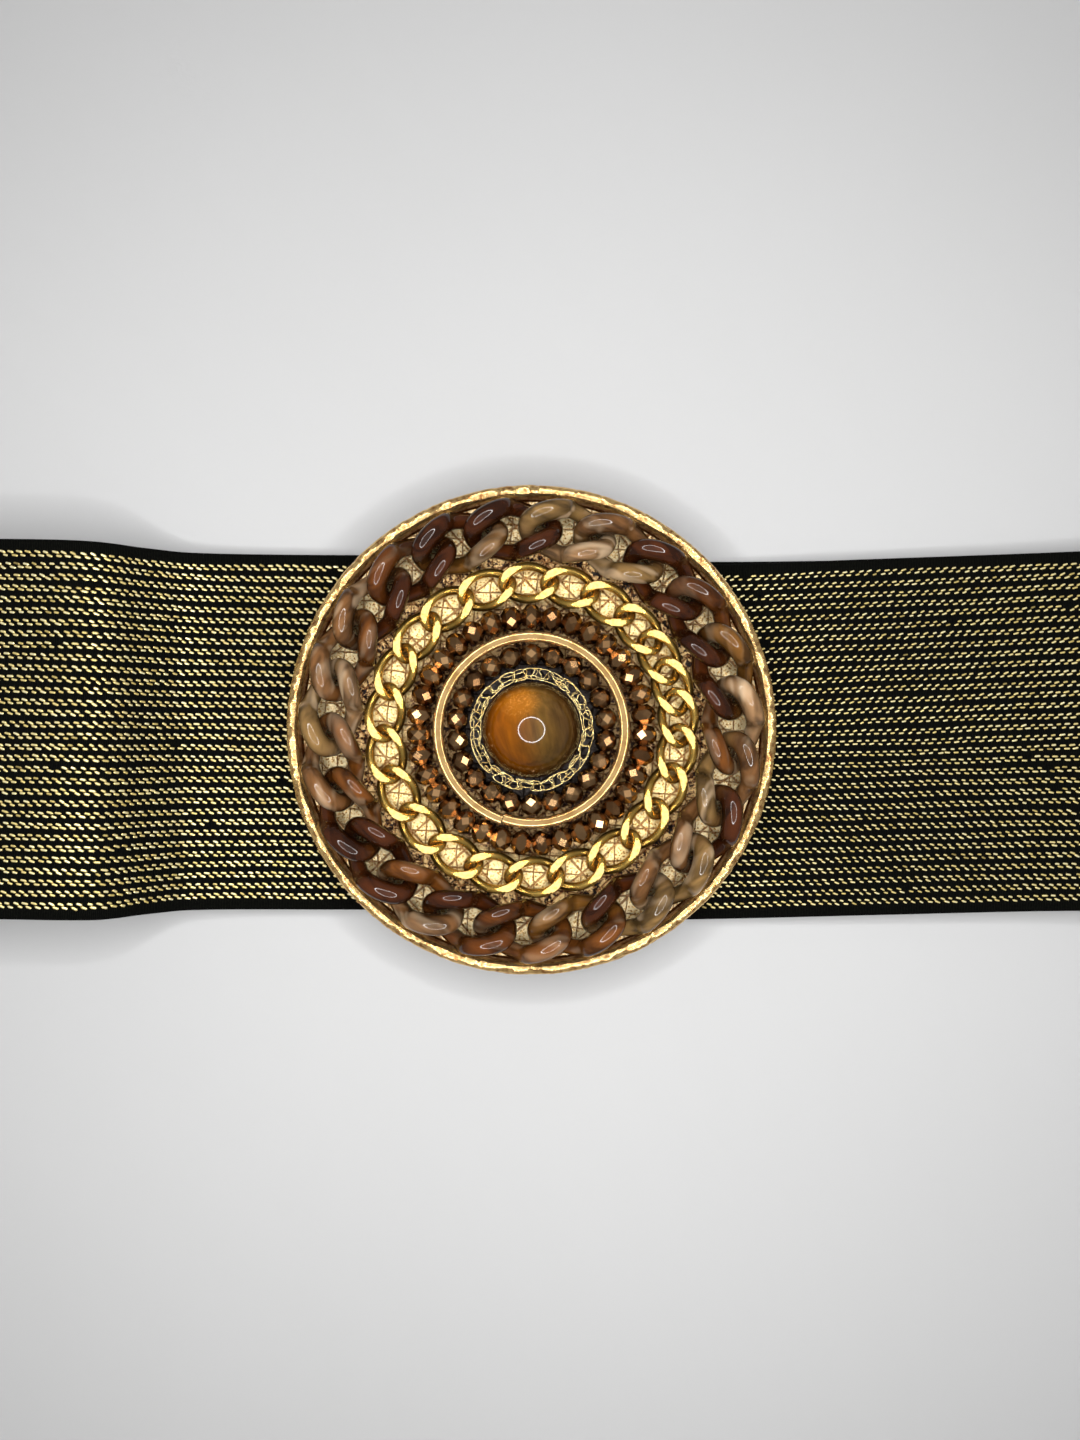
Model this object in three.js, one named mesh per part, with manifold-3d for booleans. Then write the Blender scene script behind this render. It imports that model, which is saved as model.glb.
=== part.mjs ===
// An elastic stretch belt with a round jewelled buckle, lying closed and flat on a surface.
// Millimetres. +X runs along the belt, +Z is up, and the origin is under the middle of the disc.
// Angles round the disc run clockwise from +Y, as a clock's hands do, in degrees.
import * as THREE from "three";
import { mergeVertices } from "three/addons/utils/BufferGeometryUtils.js";
import Module from "manifold-3d";

const wasm = await Module();
wasm.setup();

// Clearances
const CLEARANCE = 0.3; // between pieces that lie side by side
const LAYER_GAP = 0.3; // between the two layers of the strap
const HEM_GAP = 0.3; // between a hem and the bar in it
const BACK_CLEARANCE = 0.6; // between a hem and the back of the plate

// Strap
const BELT_LENGTH = 320; // lying flat, end to end, half of the way round
const STRAP_WIDTH = 60;
const STRAP_THICKNESS = 1.4;
const STRAP_DRIFT = 2; // how far the strap wanders sideways
const LEFT_CREST = 15.7; // height of the raised left part
const RIGHT_CREST = 14.2;
const HEM_LENGTH = 7; // what is folded back past the bar
const TURN_STEPS = 4; // places that fix the turn at each end
const FOLD_STEPS = 3;

// Rings of trim on the plate, from the middle outwards
const STONE_RADIUS = 8;
const CORD_WIDTH = 1.8;
const CORD_HEIGHT = 2.5;
const INNER_BEAD_SIZE = 3.7;
const INNER_BEADS = 22;
const RING_WIRE = 1.7;
const RING_HEIGHT = 2.9; // of the middle of the wire over the plate
const RING_JOINT_ANGLE = 198;
const RING_JOINT_STEP = 0.3; // one end stands this much further out
const RING_JOINT_GAP = 0.2;
const OUTER_BEAD_SIZE = 4.2;
const OUTER_BEADS = 35;
const BEAD_WAIST = 0.45; // radius at the touching ends of the beads, as a share of the full radius
const GOLD_CHAIN_WIDTH = 6.5;
const GOLD_WIRE = 1.6;
const GOLD_LINK_LENGTH = 10.2;
const GOLD_TWIST = 35; // degrees that a link's end turns out of its plane
const GOLD_GROUND = 0.25; // ground off the tops
const TORTOISE_CHAIN_WIDTH = 10;
const TORTOISE_WIRE = 3;
const TORTOISE_WIRE_THICKNESS = 2.1;
const TORTOISE_TWIST = 50;
const TORTOISE_PASS = 3.9; // how far the middle of a link's wire reaches past its neighbour's
const TORTOISE_LINKS = 23;
const TORTOISE_FIRST_ANGLE = 10.5;

// Where the gold links lie, by the middle of each link. They stand tighter on the right.
const GOLD_LINK_ANGLES = [
  15.2, 31.4, 46.9, 60.4, 73, 85.3, 99.3, 114.7, 129.9, 145.9, 162.2, 178.9,
  195.1, 211.3, 228.2, 244.5, 260.5, 276.8, 293.3, 309.2, 325.2, 342.3, 359,
];

// Plate, rim and the hardware behind
const RIM_WIDTH = 2;
const RIM_HEIGHT = 3; // over the plate
const RIM_DENT = 0.25; // the hammered dents in the rim's top
const PLATE_THICKNESS = 1.1;
const PLATE_STEPS = 40;
const BAR_WIDTH = 1.8;
const BAR_THICKNESS = 1.2;
const BAR_SIDE_ROOM = 0.8; // between the strap's edges and the posts or rails
const LEFT_BAR_X = -18; // the fixed bar in the left hem
const RIGHT_BAR_X = 16; // the loop's bar in the right hem
const LOOP_WINDOW = 3.8; // between the loop's two bars
const HOOK_WIDTH = 20;
const HOOK_WEB = 1.1;
const HOOK_LIP_THICKNESS = 1.3;
const HOOK_LIP_LENGTH = 6.2;
const HOOK_TIP = 0.5; // the low bead at the lip's end

// Heights that stack up from the surface
const LOWER_Z = STRAP_THICKNESS / 2;
const UPPER_Z = LOWER_Z + STRAP_THICKNESS + LAYER_GAP;
const HEM_RADIUS = BAR_THICKNESS / 2 + HEM_GAP + STRAP_THICKNESS / 2;
const BAR_Z = UPPER_Z + HEM_RADIUS;
const BACK_Z = BAR_Z + HEM_RADIUS + STRAP_THICKNESS / 2 + BACK_CLEARANCE;
const FLOOR_Z = BACK_Z + PLATE_THICKNESS;

// Radii that stack up from the middle
const CORD_RADIUS = STONE_RADIUS + CLEARANCE + CORD_WIDTH / 2;
const INNER_BEAD_RADIUS = CORD_RADIUS + CORD_WIDTH / 2 + CLEARANCE + INNER_BEAD_SIZE / 2;
const RING_RADIUS = INNER_BEAD_RADIUS + INNER_BEAD_SIZE / 2 + CLEARANCE + RING_WIRE / 2;
const OUTER_BEAD_RADIUS = RING_RADIUS + RING_WIRE / 2 + CLEARANCE + OUTER_BEAD_SIZE / 2;
const GOLD_RADIUS = OUTER_BEAD_RADIUS + OUTER_BEAD_SIZE / 2 + CLEARANCE + GOLD_CHAIN_WIDTH / 2;
const TORTOISE_RADIUS = GOLD_RADIUS + GOLD_CHAIN_WIDTH / 2 + CLEARANCE + TORTOISE_CHAIN_WIDTH / 2;
const RIM_INNER_RADIUS = TORTOISE_RADIUS + TORTOISE_CHAIN_WIDTH / 2 + CLEARANCE;
const DISC_RADIUS = RIM_INNER_RADIUS + RIM_WIDTH;

// The front layer's height beside the disc. along is a share of half the belt's length, rise a share
// of the climb from the resting height to the crest, and drift a share of the sideways wander.
const LEFT_FRONT = [
  { along: 0.22, rise: 0, drift: -0.24 },
  { along: 0.3, rise: 0.025, drift: -0.2 },
  { along: 0.344, rise: 0.075, drift: -0.17 },
  { along: 0.37, rise: 0.165, drift: -0.15 },
  { along: 0.388, rise: 0.345, drift: -0.13 },
  { along: 0.406, rise: 0.56, drift: -0.11 },
  { along: 0.42, rise: 0.78, drift: -0.09 },
  { along: 0.435, rise: 0.925, drift: -0.06 },
  { along: 0.46, rise: 0.995, drift: 0 },
  { along: 0.54, rise: 1, drift: 0.1 },
  { along: 0.72, rise: 0.99, drift: 0.14 },
  { along: 0.88, rise: 1, drift: 0.14 },
];
const RIGHT_FRONT = [
  { along: 0.22, rise: 0, drift: -1 },
  { along: 0.36, rise: 0.07, drift: -0.65 },
  { along: 0.55, rise: 0.19, drift: -0.18 },
  { along: 0.64, rise: 0.37, drift: 0.02 },
  { along: 0.72, rise: 0.68, drift: 0.2 },
  { along: 0.8, rise: 0.92, drift: 0.35 },
  { along: 0.9, rise: 1, drift: 0.48 },
];
// The back layer lies flat under the front one. along runs from the left end to the right end.
const BACK = [
  { along: -0.85, drift: 0.14 },
  { along: -0.5, drift: 0 },
  { along: -0.2, drift: -0.25 },
  { along: 0, drift: -0.45 },
  { along: 0.22, drift: -0.7 },
  { along: 0.52, drift: -0.22 },
  { along: 0.86, drift: 0.46 },
];
const LEFT_HEM_DRIFT = -0.25;
const RIGHT_HEM_DRIFT = -1.1;

const FINISHES = {
  elastic: { color: 0x6b5a2c, roughness: 0.8, metalness: 0.2 },
  castGold: { color: 0xe9c88f, roughness: 0.3, metalness: 1 },
  chainGold: { color: 0xe8c840, roughness: 0.2, metalness: 1 },
  ringGold: { color: 0xd9b98a, roughness: 0.25, metalness: 1 },
  knitGold: { color: 0xd8cfa0, roughness: 0.35, metalness: 1 },
  tortoise: { color: 0x5c4028, roughness: 0.15, metalness: 0 },
  bronzeBead: { color: 0x5a3c26, roughness: 0.15, metalness: 0.8 },
  amber: { color: 0xa85c10, roughness: 0.1, metalness: 0 },
};

const belt = new THREE.Group();

function addPiece(name, geometry, finish) {
  const mesh = new THREE.Mesh(geometry, new THREE.MeshStandardMaterial(FINISHES[finish]));
  mesh.name = name;
  belt.add(mesh);
}

function solidOf(geometry) {
  const bare = geometry.index ? geometry.toNonIndexed() : geometry.clone();
  bare.deleteAttribute("normal");
  bare.deleteAttribute("uv");
  const merged = mergeVertices(bare, 1e-4);
  const triVerts = new Uint32Array(merged.index.array);
  const vertProperties = merged.attributes.position.array;
  return new wasm.Manifold(new wasm.Mesh({ numProp: 3, vertProperties, triVerts }));
}

function geometryOf(solid) {
  const mesh = solid.getMesh();
  const geometry = new THREE.BufferGeometry();
  geometry.setAttribute("position", new THREE.BufferAttribute(mesh.vertProperties, 3));
  geometry.setIndex(new THREE.BufferAttribute(mesh.triVerts, 1));
  return geometry;
}

// A skin over a row of rings of points, every ring with as many points and running the same way round.
// It closes on itself, or where it is capped it has a fan over each end.
function loft(rings, capped) {
  const sides = rings[0].length;
  const triangles = [];
  const spans = capped ? rings.length - 1 : rings.length;
  for (let i = 0; i < spans; i++) {
    const here = i * sides;
    const next = ((i + 1) % rings.length) * sides;
    for (let j = 0; j < sides; j++) {
      const k = (j + 1) % sides;
      triangles.push(here + j, next + j, next + k, here + j, next + k, here + k);
    }
  }
  const last = (rings.length - 1) * sides;
  for (let j = 1; capped && j < sides - 1; j++)
    triangles.push(0, j, j + 1, last, last + j + 1, last + j);
  const geometry = new THREE.BufferGeometry().setFromPoints(rings.flat());
  geometry.setIndex(triangles);
  return geometry;
}

// A point on the disc, by its angle clockwise from +Y, its radius and its height.
function onDisc(degrees, radius, height) {
  const angle = THREE.MathUtils.degToRad(degrees);
  return new THREE.Vector3(radius * Math.sin(angle), radius * Math.cos(angle), height);
}

// The middle of the strap's thickness, from the left hem's end round to the right hem's end.
function strapRoute() {
  const points = [];
  const half = BELT_LENGTH / 2;
  const place = (x, drift, z) => points.push(new THREE.Vector3(x, drift * STRAP_DRIFT, z));
  const hem = (side, barX, drift) => {
    const towardsMiddle = -side;
    const middle = barX + towardsMiddle * (BAR_WIDTH / 2 - HEM_GAP);
    const stitched = UPPER_Z + STRAP_THICKNESS + HEM_GAP;
    const rows = [
      [barX + side * HEM_LENGTH, stitched],
      [barX + side * (BAR_WIDTH / 2 + 2 * HEM_RADIUS), stitched],
      [barX + side * (BAR_WIDTH / 2 + HEM_GAP), BAR_Z + HEM_RADIUS],
    ];
    for (let i = 0; i <= FOLD_STEPS; i++) {
      const turn = (Math.PI * i) / FOLD_STEPS;
      rows.push([
        middle + towardsMiddle * HEM_RADIUS * Math.sin(turn),
        BAR_Z + HEM_RADIUS * Math.cos(turn),
      ]);
    }
    rows.push([barX + side * HEM_LENGTH, UPPER_Z]);
    if (side > 0) rows.reverse();
    rows.forEach(([x, z]) => place(x, drift, z));
  };
  const front = (side, rows, crest) => {
    const climb = crest - STRAP_THICKNESS / 2 - UPPER_Z;
    const ordered = side < 0 ? rows : [...rows].reverse();
    ordered.forEach((row) => place(side * row.along * half, row.drift, UPPER_Z + row.rise * climb));
  };
  const turn = (side, crest, drift) => {
    const radius = (crest - STRAP_THICKNESS) / 2;
    const middle = side * (half - STRAP_THICKNESS / 2 - radius);
    for (let i = 0; i <= TURN_STEPS; i++) {
      const angle = (Math.PI * (side < 0 ? i : TURN_STEPS - i)) / TURN_STEPS;
      place(middle + side * radius * Math.sin(angle), drift, LOWER_Z + radius * (1 + Math.cos(angle)));
    }
  };
  hem(-1, LEFT_BAR_X, LEFT_HEM_DRIFT);
  front(-1, LEFT_FRONT, LEFT_CREST);
  turn(-1, LEFT_CREST, LEFT_FRONT.at(-1).drift);
  BACK.forEach((row) => place(row.along * half, row.drift, LOWER_Z));
  turn(1, RIGHT_CREST, RIGHT_FRONT.at(-1).drift);
  front(1, RIGHT_FRONT, RIGHT_CREST);
  hem(1, RIGHT_BAR_X, RIGHT_HEM_DRIFT);
  return points;
}

function elasticBand() {
  const points = strapRoute();
  const route = new THREE.CatmullRomCurve3(points, false, "centripetal");
  const stations = route.getPoints(2 * (points.length - 1));
  stations.forEach((station) => (station.z = Math.max(station.z, LOWER_Z)));
  const wide = STRAP_WIDTH / 2;
  const thick = STRAP_THICKNESS / 2;
  const section = [
    [wide, thick],
    [-wide, thick],
    [-wide, -thick],
    [wide, -thick],
  ];
  const rings = stations.map((middle, i) => {
    const before = stations[Math.max(i - 1, 0)];
    const after = stations[Math.min(i + 1, stations.length - 1)];
    const up = new THREE.Vector3(after.z - before.z, 0, before.x - after.x).normalize();
    return section.map(([across, out]) =>
      middle.clone().addScaledVector(up, out).add(new THREE.Vector3(0, across, 0)),
    );
  });
  return loft(rings, true);
}

// The plate and its rim are one turned profile; the rim's top is dented all round.
function turnedPlate() {
  const rim = (out, up) => new THREE.Vector2(RIM_INNER_RADIUS + out * RIM_WIDTH, FLOOR_Z + up * RIM_HEIGHT);
  const profile = [
    new THREE.Vector2(0, BACK_Z),
    new THREE.Vector2(RIM_INNER_RADIUS + RIM_WIDTH * 0.3, BACK_Z),
    new THREE.Vector2(DISC_RADIUS - RIM_WIDTH * 0.1, BACK_Z + PLATE_THICKNESS * 0.25),
    new THREE.Vector2(DISC_RADIUS, BACK_Z + PLATE_THICKNESS * 0.75),
    rim(0.72, 0.78),
    rim(0.5, 1),
    rim(0.2, 1),
    rim(0.02, 0.8),
    rim(0, 0),
    new THREE.Vector2(0, FLOOR_Z),
  ];
  const plate = new THREE.LatheGeometry(profile, PLATE_STEPS);
  plate.rotateX(Math.PI / 2);
  const position = plate.attributes.position;
  for (let i = 0; i < position.count; i++) {
    const angle = Math.atan2(position.getX(i), position.getY(i));
    const dent = 0.5 + 0.3 * Math.sin(17 * angle) + 0.2 * Math.sin(29 * angle + 1);
    const share = Math.max(0, (position.getZ(i) - FLOOR_Z) / RIM_HEIGHT);
    position.setZ(i, position.getZ(i) - share * dent * RIM_DENT);
  }
  return plate;
}

// A staple across the plate's back: the bar of the left hem with a post at each end.
function fixedBar() {
  const inside = STRAP_WIDTH / 2 + BAR_SIDE_ROOM;
  const outside = inside + BAR_WIDTH;
  const low = BAR_Z - BAR_THICKNESS / 2;
  const high = BAR_Z + BAR_THICKNESS / 2;
  const top = BACK_Z + PLATE_THICKNESS / 2;
  const staple = new THREE.Shape();
  staple.moveTo(-outside, low);
  staple.lineTo(outside, low);
  staple.lineTo(outside, top);
  staple.lineTo(inside, top);
  staple.lineTo(inside, high);
  staple.lineTo(-inside, high);
  staple.lineTo(-inside, top);
  staple.lineTo(-outside, top);
  const bar = new THREE.ExtrudeGeometry(staple, { depth: BAR_WIDTH, bevelEnabled: false });
  bar.applyMatrix4(
    new THREE.Matrix4().makeBasis(
      new THREE.Vector3(0, 1, 0),
      new THREE.Vector3(0, 0, 1),
      new THREE.Vector3(1, 0, 0),
    ),
  );
  bar.translate(LEFT_BAR_X - BAR_WIDTH / 2, LEFT_HEM_DRIFT * STRAP_DRIFT, 0);
  return bar;
}

const CAUGHT_BAR_X = RIGHT_BAR_X - BAR_WIDTH - LOOP_WINDOW;

// The hook: a web down from the plate and a lip under the loop's inner bar, open to the left.
function hook() {
  const webLeft = CAUGHT_BAR_X + BAR_WIDTH / 2 + CLEARANCE;
  const webRight = webLeft + HOOK_WEB;
  const lipTop = BAR_Z - BAR_THICKNESS / 2 - CLEARANCE;
  const lipBottom = lipTop - HOOK_LIP_THICKNESS;
  const tip = webRight - HOOK_LIP_LENGTH;
  const top = BACK_Z + PLATE_THICKNESS / 2;
  const outline = new THREE.Shape();
  outline.moveTo(webRight, lipBottom);
  outline.lineTo(webRight, top);
  outline.lineTo(webLeft, top);
  outline.lineTo(webLeft, lipTop);
  outline.lineTo(tip + HOOK_TIP * 2, lipTop);
  outline.lineTo(tip + HOOK_TIP, lipTop + HOOK_TIP);
  outline.lineTo(tip, lipTop);
  outline.lineTo(tip, lipBottom);
  const solid = new THREE.ExtrudeGeometry(outline, { depth: HOOK_WIDTH, bevelEnabled: false });
  solid.rotateX(Math.PI / 2);
  solid.translate(0, HOOK_WIDTH / 2 + RIGHT_HEM_DRIFT * STRAP_DRIFT, 0);
  return solid;
}

function discBase() {
  return geometryOf(solidOf(turnedPlate()).add(solidOf(fixedBar())).add(solidOf(hook())));
}

function claspLoop() {
  const left = CAUGHT_BAR_X - BAR_WIDTH / 2;
  const right = RIGHT_BAR_X + BAR_WIDTH / 2;
  const side = STRAP_WIDTH / 2 + BAR_SIDE_ROOM;
  const box = (path, x0, x1, y) => {
    path.moveTo(x0, -y);
    path.lineTo(x1, -y);
    path.lineTo(x1, y);
    path.lineTo(x0, y);
    return path;
  };
  const frame = box(new THREE.Shape(), left, right, side + BAR_WIDTH);
  frame.holes.push(box(new THREE.Path(), left + BAR_WIDTH, right - BAR_WIDTH, side));
  const loop = new THREE.ExtrudeGeometry(frame, { depth: BAR_THICKNESS, bevelEnabled: false });
  loop.translate(0, RIGHT_HEM_DRIFT * STRAP_DRIFT, BAR_Z - BAR_THICKNESS / 2);
  return loop;
}

// A curb link bent round the disc. Its wire runs on an oval that is twisted about the chain's line:
// outside, the end that points back stands high, and the end that points on dives.
function curbLink(degrees, size) {
  const rings = [];
  for (let i = 0; i < size.steps; i++) {
    const u = (2 * Math.PI * i) / size.steps;
    const tilt = -THREE.MathUtils.degToRad(size.twist) * Math.cos(u);
    const at = (t, w, n) => {
      const out = w * Math.cos(tilt) - n * Math.sin(tilt);
      const up = w * Math.sin(tilt) + n * Math.cos(tilt);
      const turned = degrees + THREE.MathUtils.radToDeg(t / size.radius);
      return onDisc(turned, size.radius + out, size.height + Math.min(up, size.ground));
    };
    const along = new THREE.Vector2(-size.length * Math.sin(u), size.width * Math.cos(u)).normalize();
    const ring = [];
    for (let j = 0; j < size.sides; j++) {
      const v = (2 * Math.PI * (j + 0.5)) / size.sides;
      const aside = (size.wire / 2) * Math.cos(v);
      const over = (size.thickness / 2) * Math.sin(v);
      const t = (size.length / 2) * Math.cos(u) + aside * along.y;
      const w = (size.width / 2) * Math.sin(u) - aside * along.x;
      ring.push(at(t, w, over));
    }
    rings.push(ring);
  }
  return loft(rings, false);
}

function lowest(geometry) {
  geometry.computeBoundingBox();
  return geometry.boundingBox.min.z;
}

function tortoiseLinks() {
  const pitch = (2 * Math.PI * TORTOISE_RADIUS) / TORTOISE_LINKS;
  const size = {
    radius: TORTOISE_RADIUS,
    height: 0,
    length: pitch + TORTOISE_PASS,
    width: TORTOISE_CHAIN_WIDTH - TORTOISE_WIRE,
    wire: TORTOISE_WIRE,
    thickness: TORTOISE_WIRE_THICKNESS,
    twist: TORTOISE_TWIST,
    ground: Infinity,
    steps: 11,
    sides: 5,
  };
  size.height = FLOOR_Z + CLEARANCE - lowest(curbLink(0, size));
  for (let i = 0; i < TORTOISE_LINKS; i++) {
    const name = "tortoise_link_" + String(i + 1).padStart(2, "0");
    const degrees = TORTOISE_FIRST_ANGLE + (360 * i) / TORTOISE_LINKS;
    addPiece(name, curbLink(degrees, size), "tortoise");
  }
}

function goldChain() {
  const size = {
    radius: GOLD_RADIUS,
    height: 0,
    length: GOLD_LINK_LENGTH - GOLD_WIRE,
    width: GOLD_CHAIN_WIDTH - GOLD_WIRE,
    wire: GOLD_WIRE,
    thickness: GOLD_WIRE,
    twist: GOLD_TWIST,
    ground: Infinity,
    steps: 10,
    sides: 5,
  };
  size.height = FLOOR_Z + CLEARANCE - lowest(curbLink(0, size));
  size.ground = size.height - FLOOR_Z - CLEARANCE - GOLD_GROUND;
  let chain = null;
  for (const degrees of GOLD_LINK_ANGLES) {
    const link = solidOf(curbLink(degrees, size));
    chain = chain ? chain.add(link) : link;
  }
  return geometryOf(chain);
}

// A string of round beads on one circle: each bead is full over its middle and narrow where it
// touches the next.
function beadString(count, radius, size) {
  const rings = [];
  const places = [
    [-0.5, BEAD_WAIST],
    [-0.22, 1],
    [0.22, 1],
  ];
  const sides = 10;
  for (let i = 0; i < count; i++)
    for (const [share, full] of places) {
      const degrees = (360 * (i + share)) / count;
      const ring = [];
      for (let j = 0; j < sides; j++) {
        const v = (-2 * Math.PI * j) / sides;
        const out = (full * size * Math.cos(v)) / 2;
        const up = (full * size * Math.sin(v)) / 2;
        ring.push(onDisc(degrees, radius + out, FLOOR_Z + CLEARANCE + size / 2 + up));
      }
      rings.push(ring);
    }
  return loft(rings, false);
}

// A ring bent from round wire, its two ends meeting a little out of line.
function wireRing() {
  const rings = [];
  const steps = 32;
  const sides = 6;
  const open = THREE.MathUtils.radToDeg(RING_JOINT_GAP / RING_RADIUS);
  for (let i = 0; i <= steps; i++) {
    const degrees = RING_JOINT_ANGLE + open / 2 + ((360 - open) * i) / steps;
    const centre = RING_RADIUS + RING_JOINT_STEP * (0.5 - i / steps) * Math.abs(1 - (2 * i) / steps) ** 3;
    const ring = [];
    for (let j = 0; j < sides; j++) {
      const v = (-2 * Math.PI * j) / sides;
      const out = (RING_WIRE / 2) * Math.cos(v);
      const up = (RING_WIRE / 2) * Math.sin(v);
      ring.push(onDisc(degrees, centre + out, FLOOR_Z + RING_HEIGHT + up));
    }
    rings.push(ring);
  }
  return loft(rings, true);
}

function knitCord() {
  const cord = new THREE.TorusGeometry(CORD_RADIUS, CORD_WIDTH / 2, 8, 24);
  cord.scale(1, 1, CORD_HEIGHT / CORD_WIDTH);
  cord.translate(0, 0, FLOOR_Z + CLEARANCE + CORD_HEIGHT / 2);
  return cord;
}

function centreStone() {
  const foot = FLOOR_Z + CLEARANCE;
  const girdle = foot + STONE_RADIUS * 0.08;
  const profile = [
    new THREE.Vector2(0, foot),
    new THREE.Vector2(STONE_RADIUS * 0.96, foot),
  ];
  const rows = 6;
  for (let i = 0; i <= rows; i++) {
    const angle = (Math.PI * i) / (2 * rows);
    const out = i === rows ? 0 : STONE_RADIUS * Math.cos(angle);
    profile.push(new THREE.Vector2(out, girdle + STONE_RADIUS * Math.sin(angle)));
  }
  const stone = new THREE.LatheGeometry(profile, 20);
  stone.rotateX(Math.PI / 2);
  return stone;
}

addPiece("elastic_band", elasticBand(), "elastic");
addPiece("disc_base", discBase(), "castGold");
addPiece("clasp_loop", claspLoop(), "castGold");
tortoiseLinks();
addPiece("gold_chain", goldChain(), "chainGold");
addPiece("bead_ring_outer", beadString(OUTER_BEADS, OUTER_BEAD_RADIUS, OUTER_BEAD_SIZE), "bronzeBead");
addPiece("wire_ring", wireRing(), "ringGold");
addPiece("bead_ring_inner", beadString(INNER_BEADS, INNER_BEAD_RADIUS, INNER_BEAD_SIZE), "bronzeBead");
addPiece("knit_cord_ring", knitCord(), "knitGold");
addPiece("centre_stone", centreStone(), "amber");

export default belt;
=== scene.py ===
"""Looks of an elastic stretch belt with a round jewelled buckle, lying closed and flat.

Lengths are in millimetres until a mesh is made, which is in metres. +X runs along the belt, +Y across it
and +Z up. Angles round the disc run clockwise from +Y, as a clock's hands do.
"""

import logging
import math
from dataclasses import dataclass, field
from enum import Enum

import bpy
import numpy as np
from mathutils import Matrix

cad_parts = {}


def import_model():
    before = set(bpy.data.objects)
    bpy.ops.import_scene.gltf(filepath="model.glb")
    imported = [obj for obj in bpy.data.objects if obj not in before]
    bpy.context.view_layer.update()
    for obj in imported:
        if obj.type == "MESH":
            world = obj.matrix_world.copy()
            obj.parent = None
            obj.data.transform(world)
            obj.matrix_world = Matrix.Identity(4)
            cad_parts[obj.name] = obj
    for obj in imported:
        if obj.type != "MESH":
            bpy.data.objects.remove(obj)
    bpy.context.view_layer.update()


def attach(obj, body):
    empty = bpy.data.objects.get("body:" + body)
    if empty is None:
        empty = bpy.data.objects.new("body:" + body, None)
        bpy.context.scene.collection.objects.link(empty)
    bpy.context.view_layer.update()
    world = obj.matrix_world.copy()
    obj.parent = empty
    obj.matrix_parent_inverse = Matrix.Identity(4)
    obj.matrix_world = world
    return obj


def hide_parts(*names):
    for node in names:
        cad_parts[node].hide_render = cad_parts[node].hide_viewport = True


log = logging.getLogger("belt")

# What a node gives out, and what may be put into one: that, a number, a hex colour or a vector
Socket = bpy.types.NodeSocket
Value = Socket | float | str | tuple[float, ...]

MM = 0.001
BODY = "root"
ACROSS = np.array([0.0, 1.0, 0.0])

# Clearances and the stack of heights, as in the part's source
CLEARANCE = 0.3
LAYER_GAP = 0.3
HEM_GAP = 0.3
BACK_CLEARANCE = 0.6
STRAP_THICKNESS = 1.4
BAR_WIDTH = 1.8
BAR_THICKNESS = 1.2
PLATE_THICKNESS = 1.1
LOWER_Z = STRAP_THICKNESS / 2
UPPER_Z = LOWER_Z + STRAP_THICKNESS + LAYER_GAP
HEM_RADIUS = BAR_THICKNESS / 2 + HEM_GAP + STRAP_THICKNESS / 2
BAR_Z = UPPER_Z + HEM_RADIUS
BACK_Z = BAR_Z + HEM_RADIUS + STRAP_THICKNESS / 2 + BACK_CLEARANCE
FLOOR_Z = BACK_Z + PLATE_THICKNESS
REST_Z = FLOOR_Z + CLEARANCE

# Radii of the rings of trim, from the middle outwards
STONE_RADIUS = 8.0
CORD_WIDTH = 1.8
INNER_BEAD_SIZE = 3.7
RING_WIRE = 1.7
OUTER_BEAD_SIZE = 4.2
GOLD_CHAIN_WIDTH = 6.5
TORTOISE_CHAIN_WIDTH = 10.0
CORD_RADIUS = STONE_RADIUS + CLEARANCE + CORD_WIDTH / 2
INNER_BEAD_RADIUS = CORD_RADIUS + CORD_WIDTH / 2 + CLEARANCE + INNER_BEAD_SIZE / 2
RING_RADIUS = INNER_BEAD_RADIUS + INNER_BEAD_SIZE / 2 + CLEARANCE + RING_WIRE / 2
OUTER_BEAD_RADIUS = RING_RADIUS + RING_WIRE / 2 + CLEARANCE + OUTER_BEAD_SIZE / 2
GOLD_RADIUS = OUTER_BEAD_RADIUS + OUTER_BEAD_SIZE / 2 + CLEARANCE + GOLD_CHAIN_WIDTH / 2
TORTOISE_RADIUS = GOLD_RADIUS + GOLD_CHAIN_WIDTH / 2 + CLEARANCE + TORTOISE_CHAIN_WIDTH / 2
RIM_INNER_RADIUS = TORTOISE_RADIUS + TORTOISE_CHAIN_WIDTH / 2 + CLEARANCE
RIM_WIDTH = 2.0
DISC_RADIUS = RIM_INNER_RADIUS + RIM_WIDTH

# The bars in the two hems. The clasp loop reaches back from the right one to the hook.
LEFT_BAR_X = -18.0
RIGHT_BAR_X = 16.0
CAUGHT_BAR_X = RIGHT_BAR_X - BAR_WIDTH - 3.8
BAR_HALF_LENGTH = 30.8
LEFT_HEM_DRIFT = -0.5
RIGHT_HEM_DRIFT = -2.2


# Meshes


@dataclass
class Shape:
    """Points and faces of one closed surface, in millimetres.

    Attributes:
        points: An array of points, three numbers a row.
        faces: Arrays of faces, each with as many columns as its faces have corners.
        uv: Two numbers for each point, in metres, or None.
        tint: Four numbers for each point, kept as the attribute "tint", or None.
        grain: Three numbers for each point, kept as the attribute "grain", or None.
    """

    points: np.ndarray
    faces: list[np.ndarray]
    uv: np.ndarray | None = None
    tint: np.ndarray | None = None
    grain: np.ndarray | None = None


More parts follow.
